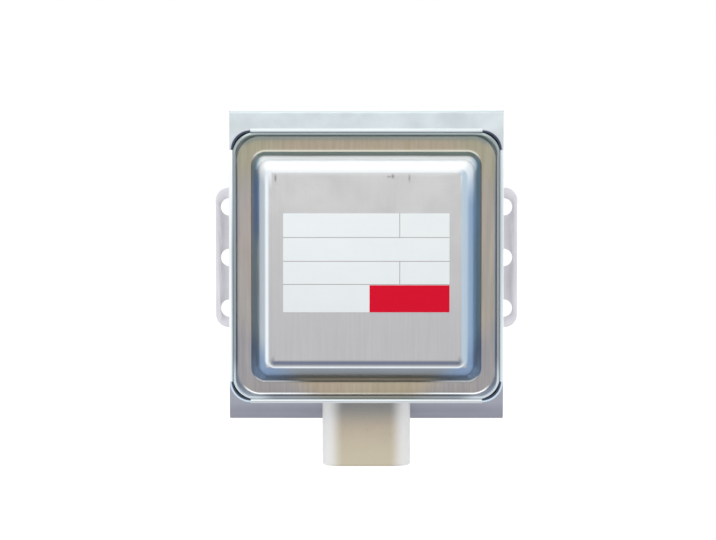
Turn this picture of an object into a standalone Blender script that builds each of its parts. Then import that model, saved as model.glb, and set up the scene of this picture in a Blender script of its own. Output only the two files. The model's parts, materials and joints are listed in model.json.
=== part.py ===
"""A packaged oven magnetron: folded yoke, ring magnets, finned anode, filter box and terminal block.

Everything is modelled in the tube's own frame and hangs on one empty that lays the tube on its side.
In the tube's frame +Z runs along the tube to the antenna, +Y points to the terminals, and z = 0 is the
mounting face. After the turn the antenna points to world +Y and the terminals to world -Z.
"""

import math

import bmesh
import bpy
from mathutils import Vector

MM = 0.001

# Clearances
SEAT = 0.3 * MM  # left between pieces that touch on the real product
PASS = 0.8 * MM  # between a hole and what only passes through it

# Yoke, one folded sheet
YOKE_SHEET = 1.6 * MM
YOKE_WIDTH = 80.0 * MM
YOKE_HEIGHT = 91.4 * MM
YOKE_BEND = 2.4 * MM
TAB_WIDTH = 12.0 * MM
TAB_SPACING = 44.0 * MM
EYELET_SPACING = 56.0 * MM
EYELET_RADIUS = 2.2 * MM
EYELET_BORE = 1.4 * MM
EYELET_RISE = 0.8 * MM

# Mounting plate with its two ears
PLATE_SHEET = 1.6 * MM
PLATE_CORNER = 2.0 * MM
EAR_SPAN = 95.0 * MM
EAR_HEIGHT = 44.0 * MM
EAR_CORNER = 4.0 * MM
EAR_HOLE_RADIUS = 2.75 * MM
EAR_HOLE_PITCH = 16.0 * MM
EAR_HOLE_MARGIN = 4.25 * MM  # from the ear's end to the holes' centres

# Ring magnets
MAGNET_RADIUS = 28.0 * MM
MAGNET_THICKNESS = 12.5 * MM
MAGNET_CHAMFER = 0.8 * MM

# Anode, vanes and straps
ANODE_RADIUS = 20.0 * MM
ANODE_WALL = 2.5 * MM
ANODE_LIP = 1.2 * MM
ANODE_LENGTH = 26.0 * MM
VANE_COUNT = 10
VANE_TIP = 4.5 * MM
VANE_SHEET = 2.0 * MM
VANE_HEIGHT = 9.5 * MM
STRAP_INNER = 6.6 * MM
STRAP_OUTER = 8.9 * MM
STRAP_SHEET = 0.7 * MM
STRAP_HEIGHT = 1.3 * MM

# Pole pieces and the two seal cups
POLE_SHEET = 1.6 * MM
POLE_GAP = 12.6 * MM
POLE_BORE = 4.7 * MM
POLE_NECK = 7.5 * MM
POLE_CONE = 14.5 * MM
CUP_SHEET = 0.6 * MM
CUP_RADIUS = 10.2 * MM
CUP_CORNER = 1.2 * MM

# Cathode
FILAMENT_RADIUS = 1.9 * MM
FILAMENT_WIRE = 0.28 * MM
FILAMENT_TURNS = 6
HAT_CLEARANCE = 0.5 * MM  # between an end hat and the vanes' tips
HAT_THICKNESS = 1.2 * MM
HAT_SPACING = 10.2 * MM
LEAD_RADIUS = 0.65 * MM
LEAD_OFFSET = 3.3 * MM

# Cooling fins
FIN_COUNT = 5
FIN_SHEET = 0.6 * MM
FIN_WIDTH = 76.0 * MM
FIN_PITCH = 4.8 * MM
FIN_WALL_PITCH = 8.6 * MM
FIN_FLAT = 29.0 * MM
FIN_FLANGE = 4.5 * MM
FIN_BEND = 1.2 * MM
COLLAR_HEIGHT = 2.0 * MM

# Output end
CUP_RISE = 6.0 * MM
CUP_DOME = 2.4 * MM
GASKET_RADIUS = 15.5 * MM
GASKET_HEIGHT = 4.7 * MM
GASKET_CORNER = 1.2 * MM
CERAMIC_RADIUS = 7.6 * MM
CERAMIC_BORE = 5.2 * MM
CERAMIC_LENGTH = 7.7 * MM
CAP_RADIUS = 8.0 * MM
CAP_SHEET = 0.5 * MM
CAP_LENGTH = 12.5 * MM
CAP_CORNER = 1.6 * MM
EXHAUST_RADIUS = 2.8 * MM
EXHAUST_BORE = 1.6 * MM
EXHAUST_CLEARANCE = 1.5 * MM  # from the pinched tip to the cap's roof
EXHAUST_FLANGE = 0.9 * MM
PINCH_LENGTH = 3.5 * MM
PINCH_WIDTH = 7.8 * MM
PINCH_SHEET = 1.4 * MM
ANTENNA_RADIUS = 1.0 * MM
ANTENNA_FOOT = 11.5 * MM
PASSAGE_START = -0.1  # where the pole piece's passage starts, as a share of the lead's slanted run
PASSAGE_END = 0.5

# Filter box, a drawn square can
BOX_SIDE = 77.0 * MM
BOX_SHEET = 1.0 * MM
BOX_DEPTH = 27.0 * MM
BOX_CORNER = 6.0 * MM
BOX_BEND = 2.5 * MM
RIM_NOTCH = 2.0 * MM

# Filter cover, a pressed tray
COVER_SHEET = 0.8 * MM
COVER_CORNER = 7.0 * MM
COVER_LIP = 2.0 * MM
COVER_LIP_BEND = 0.9 * MM
COVER_SET_BACK = 0.3 * MM
FLANGE_WIDTH = 3.35 * MM
STEP_CORNER = 3.7 * MM
STEP_FOOT = 0.22 * MM  # the small fillet between flange and riser
RISER_WIDTH = 1.7 * MM
RISER_HEIGHT = 3.5 * MM
SHOULDER_REACH = 3.9 * MM
TOP_CORNER = 0.9 * MM
CORNER_GROWTH = 0.6  # how fast the shoulder's corner radius grows away from the plateau
SHOULDER_HEIGHT = 3.0 * MM

# Terminal block and feedthrough capacitor
CASE_WIDTH = 25.0 * MM
CASE_DEPTH = 18.0 * MM
CASE_LENGTH = 18.2 * MM
CASE_WALL = 1.3 * MM
CASE_CORNER = 5.0 * MM
CASE_EDGE = 0.8 * MM
POTTING_DEPTH = 6.5 * MM
BLADE_WIDTH = 6.35 * MM
BLADE_SHEET = 0.8 * MM
BLADE_SPACING = 11.4 * MM
BLADE_SET_BACK = 1.5 * MM
BLADE_CHAMFER = 1.2 * MM
NECK_WIDTH = 3.0 * MM
GROUND_MARGIN = 3.0 * MM  # from a rivet's middle to the ground plate's end
GROUND_DEPTH = 16.0 * MM
GROUND_SHEET = 1.0 * MM
GROUND_CORNER = 2.0 * MM
GROUND_HOLE = 3.2 * MM
INNER_CASE_WIDTH = 24.0 * MM
INNER_CASE_DEPTH = 14.0 * MM
INNER_CASE_LENGTH = 12.0 * MM
INNER_CASE_WALL = 1.2 * MM
INNER_CASE_CORNER = 2.4 * MM
BLOCK_LENGTH = 8.0 * MM
NECK_OVERHANG = 7.0 * MM
RIVET_RADIUS = 1.2 * MM
RIVET_HEAD = 2.2 * MM
RIVET_HEAD_HEIGHT = 0.5 * MM

# Stem and chokes
STEM_LENGTH = 9.5 * MM
STEM_ENGAGEMENT = 2.0 * MM
STEM_CUP_RISE = 3.0 * MM
LUG_SHEET = 0.6 * MM
LUG_WIDTH = 7.0 * MM
LUG_REACH = 12.0 * MM
LUG_CORNER = 0.5 * MM
LUG_GAP = 0.5 * MM
CORE_RADIUS = 2.2 * MM
CORE_LENGTH = 18.0 * MM
COIL_WIRE = 0.7 * MM
COIL_TURNS = 8
COIL_PITCH = 1.9 * MM
COIL_SPACING = 42.0 * MM

# The stack along the tube, from the mounting face down to the cover
PLATE_BACK = -PLATE_SHEET
OUTPUT_MAGNET_FRONT = PLATE_BACK - SEAT
OUTPUT_MAGNET_BACK = OUTPUT_MAGNET_FRONT - MAGNET_THICKNESS
ANODE_FRONT = OUTPUT_MAGNET_BACK - SEAT
ANODE_MIDDLE = ANODE_FRONT - ANODE_LENGTH / 2
ANODE_BACK = ANODE_FRONT - ANODE_LENGTH
INPUT_MAGNET_FRONT = ANODE_BACK - SEAT
INPUT_MAGNET_BACK = INPUT_MAGNET_FRONT - MAGNET_THICKNESS
YOKE_INSIDE = INPUT_MAGNET_BACK - SEAT
YOKE_OUTSIDE = YOKE_INSIDE - YOKE_SHEET
BOX_BACK = YOKE_OUTSIDE - SEAT
BOX_FLOOR = BOX_BACK - BOX_SHEET
BOX_RIM = BOX_BACK - BOX_DEPTH
LIP_EDGE = BOX_RIM + COVER_SET_BACK
FLANGE_FACE = LIP_EDGE + COVER_LIP

# The round pieces that fit into each other
MAGNET_BORE = CUP_RADIUS + PASS
HAT_RADIUS = VANE_TIP - HAT_CLEARANCE
EXHAUST_LENGTH = CAP_LENGTH - CAP_SHEET - EXHAUST_CLEARANCE

# The cover, measured inwards from the box that it fits into
RIM_STRAIGHT = BOX_SIDE - 2 * BOX_CORNER
LIP_SIDE = BOX_SIDE - 2 * (BOX_SHEET + SEAT + COVER_SHEET)
STEP_SIDE = LIP_SIDE - 2 * (COVER_LIP_BEND + FLANGE_WIDTH)
TOP_SIDE = STEP_SIDE - 2 * (RISER_WIDTH + SHOULDER_REACH)

# Depth of the recess in each end of the anode that holds a pole piece and a cup's flange
RECESS_DEPTH = CUP_SHEET + SEAT + POLE_SHEET + SEAT
RECESS_RADIUS = ANODE_RADIUS - ANODE_LIP
POLE_RIM = RECESS_RADIUS - SEAT

# The rivets stand clear of both the outer and the inner case
RIVET_SPACING = max(CASE_WIDTH, INNER_CASE_WIDTH) + 2 * (PASS + RIVET_HEAD)
GROUND_WIDTH = RIVET_SPACING + 2 * GROUND_MARGIN

# The terminal side, measured from the tube's axis
WALL_INSIDE = BOX_SIDE / 2 - BOX_SHEET
WALL_OUTSIDE = BOX_SIDE / 2
TERMINAL_LEVEL = (BOX_BACK + BOX_RIM) / 2
GROUND_INSIDE = WALL_INSIDE - SEAT - GROUND_SHEET
CASE_START = WALL_OUTSIDE + SEAT
CASE_END = CASE_START + CASE_LENGTH
BLOCK_START = GROUND_INSIDE - SEAT
NECK_END = BLOCK_START - INNER_CASE_LENGTH - NECK_OVERHANG
LUG_FACE = BOX_FLOOR - STEM_CUP_RISE + STEM_ENGAGEMENT - STEM_LENGTH - SEAT - LUG_SHEET
COIL_LEVEL = LUG_FACE - SEAT - COIL_WIRE
COIL_RADIUS = CORE_RADIUS + SEAT + COIL_WIRE

ROUND = 32  # facets round a large turned piece
SMALL_ROUND = 16
TINY_ROUND = 12
TURN_POINTS = 8  # points on each turn of a wound wire
ARC = 4  # facets in a rounded corner or a bend that shows
FOLD = 2  # facets in any other bend
SMOOTH_ANGLE = math.radians(35)
STRAIGHT = math.radians(89.9)  # half the angle at a corner that is no corner
WELD = 0.002 * MM

ALONG_TUBE = (0.0, 0.0, 0.0)  # an outline in x and y, thick along z
ACROSS_X = (math.pi / 2, 0.0, math.pi / 2)  # an outline in y and z, thick along x
ACROSS_Y = (math.pi / 2, 0.0, 0.0)  # an outline in x and z, thick along y


def clear_scene():
    for thing in list(bpy.data.objects):
        bpy.data.objects.remove(thing, do_unlink=True)


def new_collection(name):
    collection = bpy.data.collections.new(name)
    bpy.context.scene.collection.children.link(collection)
    return collection


clear_scene()
PARTS = new_collection("magnetron")
TOOLS = new_collection("cutters")
TUBE = bpy.data.objects.new("tube_frame", None)
TUBE.rotation_euler = (-math.pi / 2, 0.0, 0.0)
PARTS.objects.link(TUBE)


def material(name, colour, roughness, metallic):
    made = bpy.data.materials.new(name)
    made.use_nodes = True
    shader = made.node_tree.nodes["Principled BSDF"]
    shader.inputs["Base Color"].default_value = (*colour, 1.0)
    shader.inputs["Roughness"].default_value = roughness
    shader.inputs["Metallic"].default_value = metallic
    return made


ZINC = material("zinc_plated_steel", (0.62, 0.64, 0.66), 0.35, 1.0)
GALVANISED = material("galvanised_steel", (0.55, 0.53, 0.50), 0.40, 1.0)
ALUMINIUM = material("fin_aluminium", (0.80, 0.81, 0.82), 0.30, 1.0)
FERRITE = material("ferrite", (0.07, 0.07, 0.075), 0.70, 0.0)
COPPER = material("copper", (0.72, 0.40, 0.26), 0.30, 1.0)
IRON = material("soft_iron", (0.42, 0.42, 0.43), 0.40, 1.0)
STEEL = material("seal_steel", (0.60, 0.60, 0.61), 0.25, 1.0)
TUNGSTEN = material("tungsten", (0.30, 0.30, 0.31), 0.45, 1.0)
ALUMINA = material("alumina", (0.86, 0.70, 0.68), 0.45, 0.0)
CERAMIC = material("capacitor_ceramic", (0.30, 0.22, 0.18), 0.55, 0.0)
PLASTIC = material("terminal_plastic", (0.80, 0.76, 0.66), 0.45, 0.0)
EPOXY = material("epoxy", (0.10, 0.10, 0.11), 0.40, 0.0)
TIN = material("tinned_brass", (0.74, 0.73, 0.70), 0.25, 1.0)
ENAMEL = material("enamelled_wire", (0.55, 0.22, 0.08), 0.30, 0.6)
MESH_WIRE = material("knitted_wire", (0.70, 0.69, 0.66), 0.40, 1.0)


def place(name, data, finish, place_at=(0.0, 0.0, 0.0), turn=ALONG_TUBE):
    """Puts one sub-part in the tube's frame."""
    thing = bpy.data.objects.new(name, data)
    PARTS.objects.link(thing)
    thing.parent = TUBE
    thing.location = place_at
    thing.rotation_euler = turn
    if finish is not None:
        data.materials.clear()
        data.materials.append(finish)
    return thing


def as_cutter(thing):
    """Turns a placed object into a tool that cuts others and isn't a sub-part."""
    PARTS.objects.unlink(thing)
    TOOLS.objects.link(thing)
    thing.hide_render = True
    thing.display_type = "WIRE"
    return thing


def combine(target, tool, operation):
    step = target.modifiers.new(f"{operation.lower()} {tool.name}", "BOOLEAN")
    step.operation = operation
    step.solver = "EXACT"
    step.object = tool


def cut(target, *tools):
    for tool in tools:
        combine(target, tool, "DIFFERENCE")


def smooth(mesh):
    mesh.shade_smooth()
    mesh.set_sharp_from_angle(angle=SMOOTH_ANGLE)


def arc(centre, radius, start, end, facets):
    """Points on an arc, both ends included, angles in radians."""
    angles = [start + (end - start) * step / facets for step in range(facets + 1)]
    return [(centre[0] + radius * math.cos(a), centre[1] + radius * math.sin(a)) for a in angles]


def filleted(corners, closed=True, facets=ARC):
    """An outline from (x, y, radius) corners, each radius laid in as an arc."""
    points = []
    count = len(corners)
    for index, (x, y, radius) in enumerate(corners):
        here = Vector((x, y))
        is_end = not closed and index in (0, count - 1)
        if radius <= 0.0 or is_end:
            points.append((x, y))
            continue
        before = (Vector(corners[index - 1][:2]) - here).normalized()
        after = (Vector(corners[(index + 1) % count][:2]) - here).normalized()
        half = before.angle(after) / 2
        if half > STRAIGHT:
            continue
        centre = here + (before + after).normalized() * (radius / math.sin(half))
        start = here + before * (radius / math.tan(half)) - centre
        sweep = start.angle_signed(here + after * (radius / math.tan(half)) - centre)
        first = math.atan2(start.y, start.x)
        points += arc(centre, radius, first, first - sweep, facets)
    return points


def rounded_rectangle(width, height, radius, centre=(0.0, 0.0), facets=ARC):
    x = width / 2
    y = height / 2
    signs = ((1, 1), (-1, 1), (-1, -1), (1, -1))
    return filleted([(centre[0] + sx * x, centre[1] + sy * y, radius) for sx, sy in signs], facets=facets)


def circle(radius, facets, centre=(0.0, 0.0)):
    return arc(centre, radius, 0.0, 2 * math.pi, facets)[:-1]


def band(path, thickness):
    """The closed section of a sheet that follows a centre line."""
    line = [Vector(point) for point in path]
    left = []
    right = []
    for index, point in enumerate(line):
        back = (point - line[index - 1]).normalized() if index else None
        ahead = (line[index + 1] - point).normalized() if index + 1 < len(line) else None
        back = back or ahead
        ahead = ahead or back
        along = (back + ahead).normalized()
        side = Vector((-along.y, along.x)) * (thickness / 2 / along.dot(ahead))
        left.append(tuple(point + side))
        right.append(tuple(point - side))
    return left + right[::-1]


def baked(guide):
    """The closed mesh that a guide object evaluates to; the guide is used up."""
    bpy.context.scene.collection.objects.link(guide)
    bpy.context.view_layer.update()
    solid = guide.evaluated_get(bpy.context.evaluated_depsgraph_get())
    mesh = bpy.data.meshes.new_from_object(solid)
    bpy.data.objects.remove(guide, do_unlink=True)
    shape = bmesh.new()
    shape.from_mesh(mesh)
    bmesh.ops.remove_doubles(shape, verts=shape.verts, dist=WELD)
    bmesh.ops.recalc_face_normals(shape, faces=shape.faces)
    shape.to_mesh(mesh)
    shape.free()
    smooth(mesh)
    return mesh


def slab(name, outlines, thickness, finish=None, place_at=(0.0, 0.0, 0.0), turn=ALONG_TUBE):
    """A flat outline with any holes in it, given a thickness about its own plane."""
    flat = bpy.data.curves.new(name, "CURVE")
    flat.dimensions = "2D"
    flat.fill_mode = "BOTH"
    flat.extrude = thickness / 2
    for outline in outlines:
        spline = flat.splines.new("POLY")
        spline.points.add(len(outline) - 1)
        for point, (x, y) in zip(spline.points, outline):
            point.co = (x, y, 0.0, 1.0)
        spline.use_cyclic_u = True
    mesh = baked(bpy.data.objects.new(name, flat))
    return place(name, mesh, finish, place_at, turn)


def wire(name, points, radius, finish, sides=1):
    """A round wire through the given points."""
    curve = bpy.data.curves.new(name, "CURVE")
    curve.dimensions = "3D"
    curve.bevel_depth = radius
    curve.bevel_resolution = sides
    curve.use_fill_caps = True
    spline = curve.splines.new("POLY")
    spline.points.add(len(points) - 1)
    for point, position in zip(spline.points, points):
        point.co = (*position, 1.0)
    mesh = baked(bpy.data.objects.new(name, curve))
    return place(name, mesh, finish)


def turned(name, section, finish=None, facets=ROUND, closed=True, place_at=(0.0, 0.0, 0.0), turn=ALONG_TUBE):
    """A turned piece from (radius, height) points; a closed section stays off the axis."""
    profile = bpy.data.meshes.new(name)
    count = len(section)
    edges = [(index, (index + 1) % count) for index in range(count if closed else count - 1)]
    profile.from_pydata([(radius, 0.0, height) for radius, height in section], edges, [])
    guide = bpy.data.objects.new(name, profile)
    screw = guide.modifiers.new("turn", "SCREW")
    screw.steps = facets
    screw.render_steps = facets
    screw.use_merge_vertices = True
    screw.merge_threshold = WELD
    return place(name, baked(guide), finish, place_at, turn)


def rod(name, start, end, radius, finish=None, facets=SMALL_ROUND):
    """A straight cylinder between two points."""
    axis = Vector(end) - Vector(start)
    shape = bmesh.new()
    ends = {"radius1": radius, "radius2": radius}
    bmesh.ops.create_cone(shape, cap_ends=True, segments=facets, depth=axis.length, **ends)
    mesh = bpy.data.meshes.new(name)
    shape.to_mesh(mesh)
    shape.free()
    smooth(mesh)
    turn = axis.to_track_quat("Z", "Y").to_euler()
    return place(name, mesh, finish, (Vector(start) + Vector(end)) / 2, turn)


def boxes(name, spans, finish=None):
    """One mesh of separate boxes, each given by its low and high corners."""
    shape = bmesh.new()
    for low, high in spans:
        cube = bmesh.ops.create_cube(shape, size=1.0)["verts"]
        for vert in cube:
            vert.co = [a + (b - a) * (c + 0.5) for a, b, c in zip(low, high, vert.co)]
    mesh = bpy.data.meshes.new(name)
    shape.to_mesh(mesh)
    shape.free()
    return place(name, mesh, finish)


def loft(name, rings, finish, closed=False, cap_last=False, place_at=(0.0, 0.0, 0.0), turn=ALONG_TUBE):
    """A surface through rounded rectangles, each (width, height, corner radius, level).

    Its faces look outwards where the levels rise, whatever the sizes are.
    """
    shape = bmesh.new()
    loops = []
    for width, height, radius, level in rings:
        outline = rounded_rectangle(width, height, radius)
        loops.append([shape.verts.new((x, y, level)) for x, y in outline])
    pairs = list(zip(loops, loops[1:]))
    if closed:
        pairs.append((loops[-1], loops[0]))
    for lower, upper in pairs:
        for index in range(len(lower)):
            after = (index + 1) % len(lower)
            shape.faces.new((lower[index], lower[after], upper[after], upper[index]))
    if cap_last:
        shape.faces.new(loops[-1])
    mesh = bpy.data.meshes.new(name)
    shape.to_mesh(mesh)
    shape.free()
    smooth(mesh)
    return place(name, mesh, finish, place_at, turn)


def square_corners(spacing):
    half = spacing / 2
    return [(half, half), (-half, half), (-half, -half), (half, -half)]


def tube_clearance(name, front, back):
    """The cutter that lets a seal cup through a sheet between two levels."""
    margin = front - back
    hole = rod(name, (0, 0, front + margin), (0, 0, back - margin), CUP_RADIUS + PASS, facets=ROUND)
    return as_cutter(hole)


def yoke_frame():
    """One sheet folded to a U, with tabs for the plate and eyelets for the filter box."""
    y = YOKE_HEIGHT / 2 - YOKE_SHEET / 2
    base = YOKE_OUTSIDE + YOKE_SHEET / 2
    bend = YOKE_BEND - YOKE_SHEET / 2
    path = filleted([(-y, 0.0, 0.0), (-y, base, bend), (y, base, bend), (y, 0.0, 0.0)], closed=False)
    frame = slab("yoke_frame", [band(path, YOKE_SHEET)], YOKE_WIDTH, ZINC, turn=ACROSS_X)
    inner = (TAB_SPACING - TAB_WIDTH) / 2
    outer = (TAB_SPACING + TAB_WIDTH) / 2
    low = PLATE_BACK - SEAT
    spans = [(-YOKE_WIDTH, -outer), (-inner, inner), (outer, YOKE_WIDTH)]
    between_tabs = [((a, -YOKE_HEIGHT, low), (b, YOKE_HEIGHT, PLATE_SHEET)) for a, b in spans]
    cut(frame, as_cutter(boxes("between_tabs", between_tabs)))
    tip = BOX_FLOOR - EYELET_RISE
    for index, (x, y) in enumerate(square_corners(EYELET_SPACING), 1):
        eyelet = rod(f"eyelet_{index}", (x, y, base), (x, y, tip), EYELET_RADIUS, facets=TINY_ROUND)
        combine(frame, as_cutter(eyelet), "UNION")
        above = (x, y, YOKE_INSIDE + YOKE_SHEET)
        below = (x, y, tip - YOKE_SHEET)
        cut(frame, as_cutter(rod(f"eyelet_bore_{index}", above, below, EYELET_BORE, facets=TINY_ROUND)))
    cut(frame, tube_clearance("yoke_bore", YOKE_INSIDE, YOKE_OUTSIDE))
    return frame


def mounting_plate():
    """The sheet that bolts to the waveguide, notched for the yoke's tabs."""
    x = YOKE_WIDTH / 2
    y = YOKE_HEIGHT / 2
    notch = y - YOKE_SHEET - SEAT
    inner = (TAB_SPACING - TAB_WIDTH) / 2 - SEAT
    outer = (TAB_SPACING + TAB_WIDTH) / 2 + SEAT
    ear_x = EAR_SPAN / 2
    ear_y = EAR_HEIGHT / 2
    ear_corner = min(EAR_CORNER, ear_x - x)
    quarter = [
        (ear_x, ear_y, ear_corner),
        (x, ear_y, 0.0),
        (x, y, PLATE_CORNER),
        (outer, y, 0.0),
        (outer, notch, 0.0),
        (inner, notch, 0.0),
        (inner, y, 0.0),
    ]
    half = quarter + [(-a, b, r) for a, b, r in reversed(quarter)]
    outline = filleted(half + [(-a, -b, r) for a, b, r in half])
    holes = [circle(CUP_RADIUS + PASS, ROUND)]
    for side in (-1, 1):
        for row in (-1, 0, 1):
            centre = (side * (ear_x - EAR_HOLE_MARGIN), row * EAR_HOLE_PITCH)
            holes.append(circle(EAR_HOLE_RADIUS, SMALL_ROUND, centre))
    level = PLATE_BACK + PLATE_SHEET / 2
    return slab("mounting_plate", [outline] + holes, PLATE_SHEET, GALVANISED, (0, 0, level))


def magnet(name, front):
    back = front - MAGNET_THICKNESS
    c = MAGNET_CHAMFER
    section = [
        (MAGNET_BORE, front),
        (MAGNET_RADIUS - c, front),
        (MAGNET_RADIUS, front - c),
        (MAGNET_RADIUS, back + c),
        (MAGNET_RADIUS - c, back),
        (MAGNET_BORE, back),
    ]
    return turned(name, section, FERRITE)


def anode_cylinder():
    """The copper tube, recessed at both ends for a pole piece and a cup's flange."""
    bore = ANODE_RADIUS - ANODE_WALL
    half = ANODE_LENGTH / 2
    shoulder = half - RECESS_DEPTH
    upper = [(ANODE_RADIUS, half), (RECESS_RADIUS, half), (RECESS_RADIUS, shoulder), (bore, shoulder)]
    section = upper + [(r, -z) for r, z in reversed(upper)]
    return turned("anode_cylinder", section, COPPER, place_at=(0, 0, ANODE_MIDDLE))


def vane_notch(strap, is_joined, depth_from):
    """The slot in a vane's edge for one strap, tight where they join and wide where they don't."""
    room = SEAT if is_joined else PASS
    floor = depth_from - SEAT - STRAP_HEIGHT - room
    low = strap - STRAP_SHEET / 2 - room
    high = strap + STRAP_SHEET / 2 + room
    return [(low, depth_from), (low, floor), (high, floor), (high, depth_from)]


def anode_vane(index):
    """One vane; its straps join on alternate vanes, and the other way round at the far edge."""
    half = VANE_HEIGHT / 2
    root = ANODE_RADIUS - ANODE_WALL - SEAT
    even = index % 2 == 0
    front = vane_notch(STRAP_INNER, even, half) + vane_notch(STRAP_OUTER, not even, half)
    back = vane_notch(STRAP_INNER, not even, half) + vane_notch(STRAP_OUTER, even, half)
    outline = [(VANE_TIP, half)] + front + [(root, half), (root, -half)]
    outline += [(r, -z) for r, z in reversed(back)] + [(VANE_TIP, -half)]
    angle = 2 * math.pi * index / VANE_COUNT
    turn = (math.pi / 2, 0.0, angle)
    return slab(f"anode_vane_{index + 1:02d}", [outline], VANE_SHEET, COPPER, (0, 0, ANODE_MIDDLE), turn)


def strap(name, radius, side):
    """A ring that ties alternate vanes together, let in below their edge."""
    outer = VANE_HEIGHT / 2 - SEAT
    low = radius - STRAP_SHEET / 2
    high = radius + STRAP_SHEET / 2
    upper = [(low, outer), (high, outer), (high, outer - STRAP_HEIGHT), (low, outer - STRAP_HEIGHT)]
    section = [(r, side * z) for r, z in upper]
    return turned(name, section, COPPER, SMALL_ROUND, place_at=(0, 0, ANODE_MIDDLE))


def pole_piece(name, side):
    """A pressed funnel that brings the magnet's field to the gap."""
    neck = POLE_GAP / 2 + POLE_SHEET / 2
    rim = ANODE_LENGTH / 2 - CUP_SHEET - SEAT - POLE_SHEET / 2
    path = [(POLE_BORE, neck), (POLE_NECK, neck), (POLE_CONE, rim), (POLE_RIM, rim)]
    section = [(r, side * z) for r, z in band(path, POLE_SHEET)]
    return turned(name, section, IRON, place_at=(0, 0, ANODE_MIDDLE))


def antenna_path():
    """The output lead's centre line, from a vane through the pole piece to the cap."""
    start = ANODE_MIDDLE + VANE_HEIGHT / 2 + SEAT
    bend = ANODE_MIDDLE + POLE_GAP / 2
    meet = PLATE_BACK - POLE_GAP / 2
    end = seal_top() + CERAMIC_LENGTH + EXHAUST_LENGTH / 2
    return [(ANTENNA_FOOT, 0, start), (ANTENNA_FOOT, 0, bend), (0, 0, meet), (0, 0, end)]


def output_pole_piece():
    pole = pole_piece("output_pole_piece", 1)
    bend, meet = (Vector(point) for point in antenna_path()[1:3])
    low = bend.lerp(meet, PASSAGE_START)
    high = bend.lerp(meet, PASSAGE_END)
    cut(pole, as_cutter(rod("antenna_passage", low, high, ANTENNA_RADIUS + PASS)))
    return pole


def seal_top():
    """Where the output cup's narrow end stops and the ceramic begins."""
    return CUP_RISE + CUP_DOME + SEAT


def seal_cup(name, flange, path_end):
    """A drawn cup whose flange lies on a pole piece and whose neck leaves through the magnet."""
    neck = CUP_RADIUS - CUP_SHEET / 2
    corners = [(POLE_RIM, flange, 0.0), (neck, flange, CUP_CORNER)] + path_end
    path = filleted(corners, closed=False, facets=FOLD)
    return turned(name, band(path, CUP_SHEET), STEEL)


def output_seal_cup():
    narrow = (CERAMIC_BORE + CERAMIC_RADIUS) / 2
    neck = CUP_RADIUS - CUP_SHEET / 2
    tip = seal_top() - SEAT
    path_end = [(neck, CUP_RISE, 0.0), (narrow, CUP_RISE + CUP_DOME / 2, 0.0), (narrow, tip, 0.0)]
    return seal_cup("output_seal_cup", ANODE_FRONT - CUP_SHEET / 2, path_end)


def input_seal_cup():
    neck = CUP_RADIUS - CUP_SHEET / 2
    return seal_cup("input_seal_cup", ANODE_BACK + CUP_SHEET / 2, [(neck, BOX_FLOOR - STEM_CUP_RISE, 0.0)])


def filament():
    """The helix between the two end hats."""
    room = HAT_SPACING / 2 - HAT_THICKNESS / 2 - SEAT - FILAMENT_WIRE
    steps = FILAMENT_TURNS * TURN_POINTS
    points = []
    for step in range(steps + 1):
        angle = 2 * math.pi * FILAMENT_TURNS * step / steps
        level = ANODE_MIDDLE - room + 2 * room * step / steps
        points.append((FILAMENT_RADIUS * math.cos(angle), FILAMENT_RADIUS * math.sin(angle), level))
    return wire("filament", points, FILAMENT_WIRE, TUNGSTEN)


def end_hat(name, side):
    level = side * HAT_SPACING / 2
    bore = LEAD_RADIUS + SEAT
    top = level + HAT_THICKNESS / 2
    bottom = level - HAT_THICKNESS / 2
    section = [(bore, top), (HAT_RADIUS, top), (HAT_RADIUS, bottom), (bore, bottom)]
    return turned(name, section, TUNGSTEN, SMALL_ROUND, place_at=(0, 0, ANODE_MIDDLE))


def cathode_leads():
    """The centre lead carries the far hat; the side lead meets the near one."""
    tip = LUG_FACE - LUG_SHEET
    top = ANODE_MIDDLE + HAT_SPACING / 2 + HAT_THICKNESS / 2
    below = ANODE_MIDDLE - HAT_SPACING / 2 - HAT_THICKNESS / 2 - SEAT
    for name, x, end in (("centre", 0.0, top), ("side", -LEAD_OFFSET, below)):
        rod(f"cathode_{name}_lead", (x, 0, tip), (x, 0, end), LEAD_RADIUS, TUNGSTEN, TINY_ROUND)


def stem_ceramic():
    """The insulator in the input cup, bored for the two leads."""
    radius = CUP_RADIUS - CUP_SHEET - SEAT
    top = BOX_FLOOR - STEM_CUP_RISE + STEM_ENGAGEMENT
    stem = rod("stem_ceramic", (0, 0, top - STEM_LENGTH), (0, 0, top), radius, ALUMINA, ROUND)
    for name, x in (("centre", 0.0), ("side", -LEAD_OFFSET)):
        low = (x, 0, top - STEM_LENGTH - STEM_ENGAGEMENT)
        high = (x, 0, top + STEM_ENGAGEMENT)
        cut(stem, as_cutter(rod(f"{name}_lead_bore", low, high, LEAD_RADIUS + SEAT, facets=TINY_ROUND)))
    return stem


def stem_terminals():
    """Two flat lugs on the stem's end, one for each lead."""
    split = -LEAD_OFFSET / 2
    left = ("left", -LUG_REACH, split - LUG_GAP / 2, -LEAD_OFFSET)
    right = ("right", split + LUG_GAP / 2, LUG_REACH, 0.0)
    for name, low, high, lead in (left, right):
        plate = rounded_rectangle(high - low, LUG_WIDTH, LUG_CORNER, ((low + high) / 2, 0.0))
        hole = circle(LEAD_RADIUS + SEAT, TINY_ROUND, (lead, 0.0))
        level = LUG_FACE + LUG_SHEET / 2
        slab(f"stem_terminal_{name}", [plate, hole], LUG_SHEET, TIN, (0, 0, level))


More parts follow.
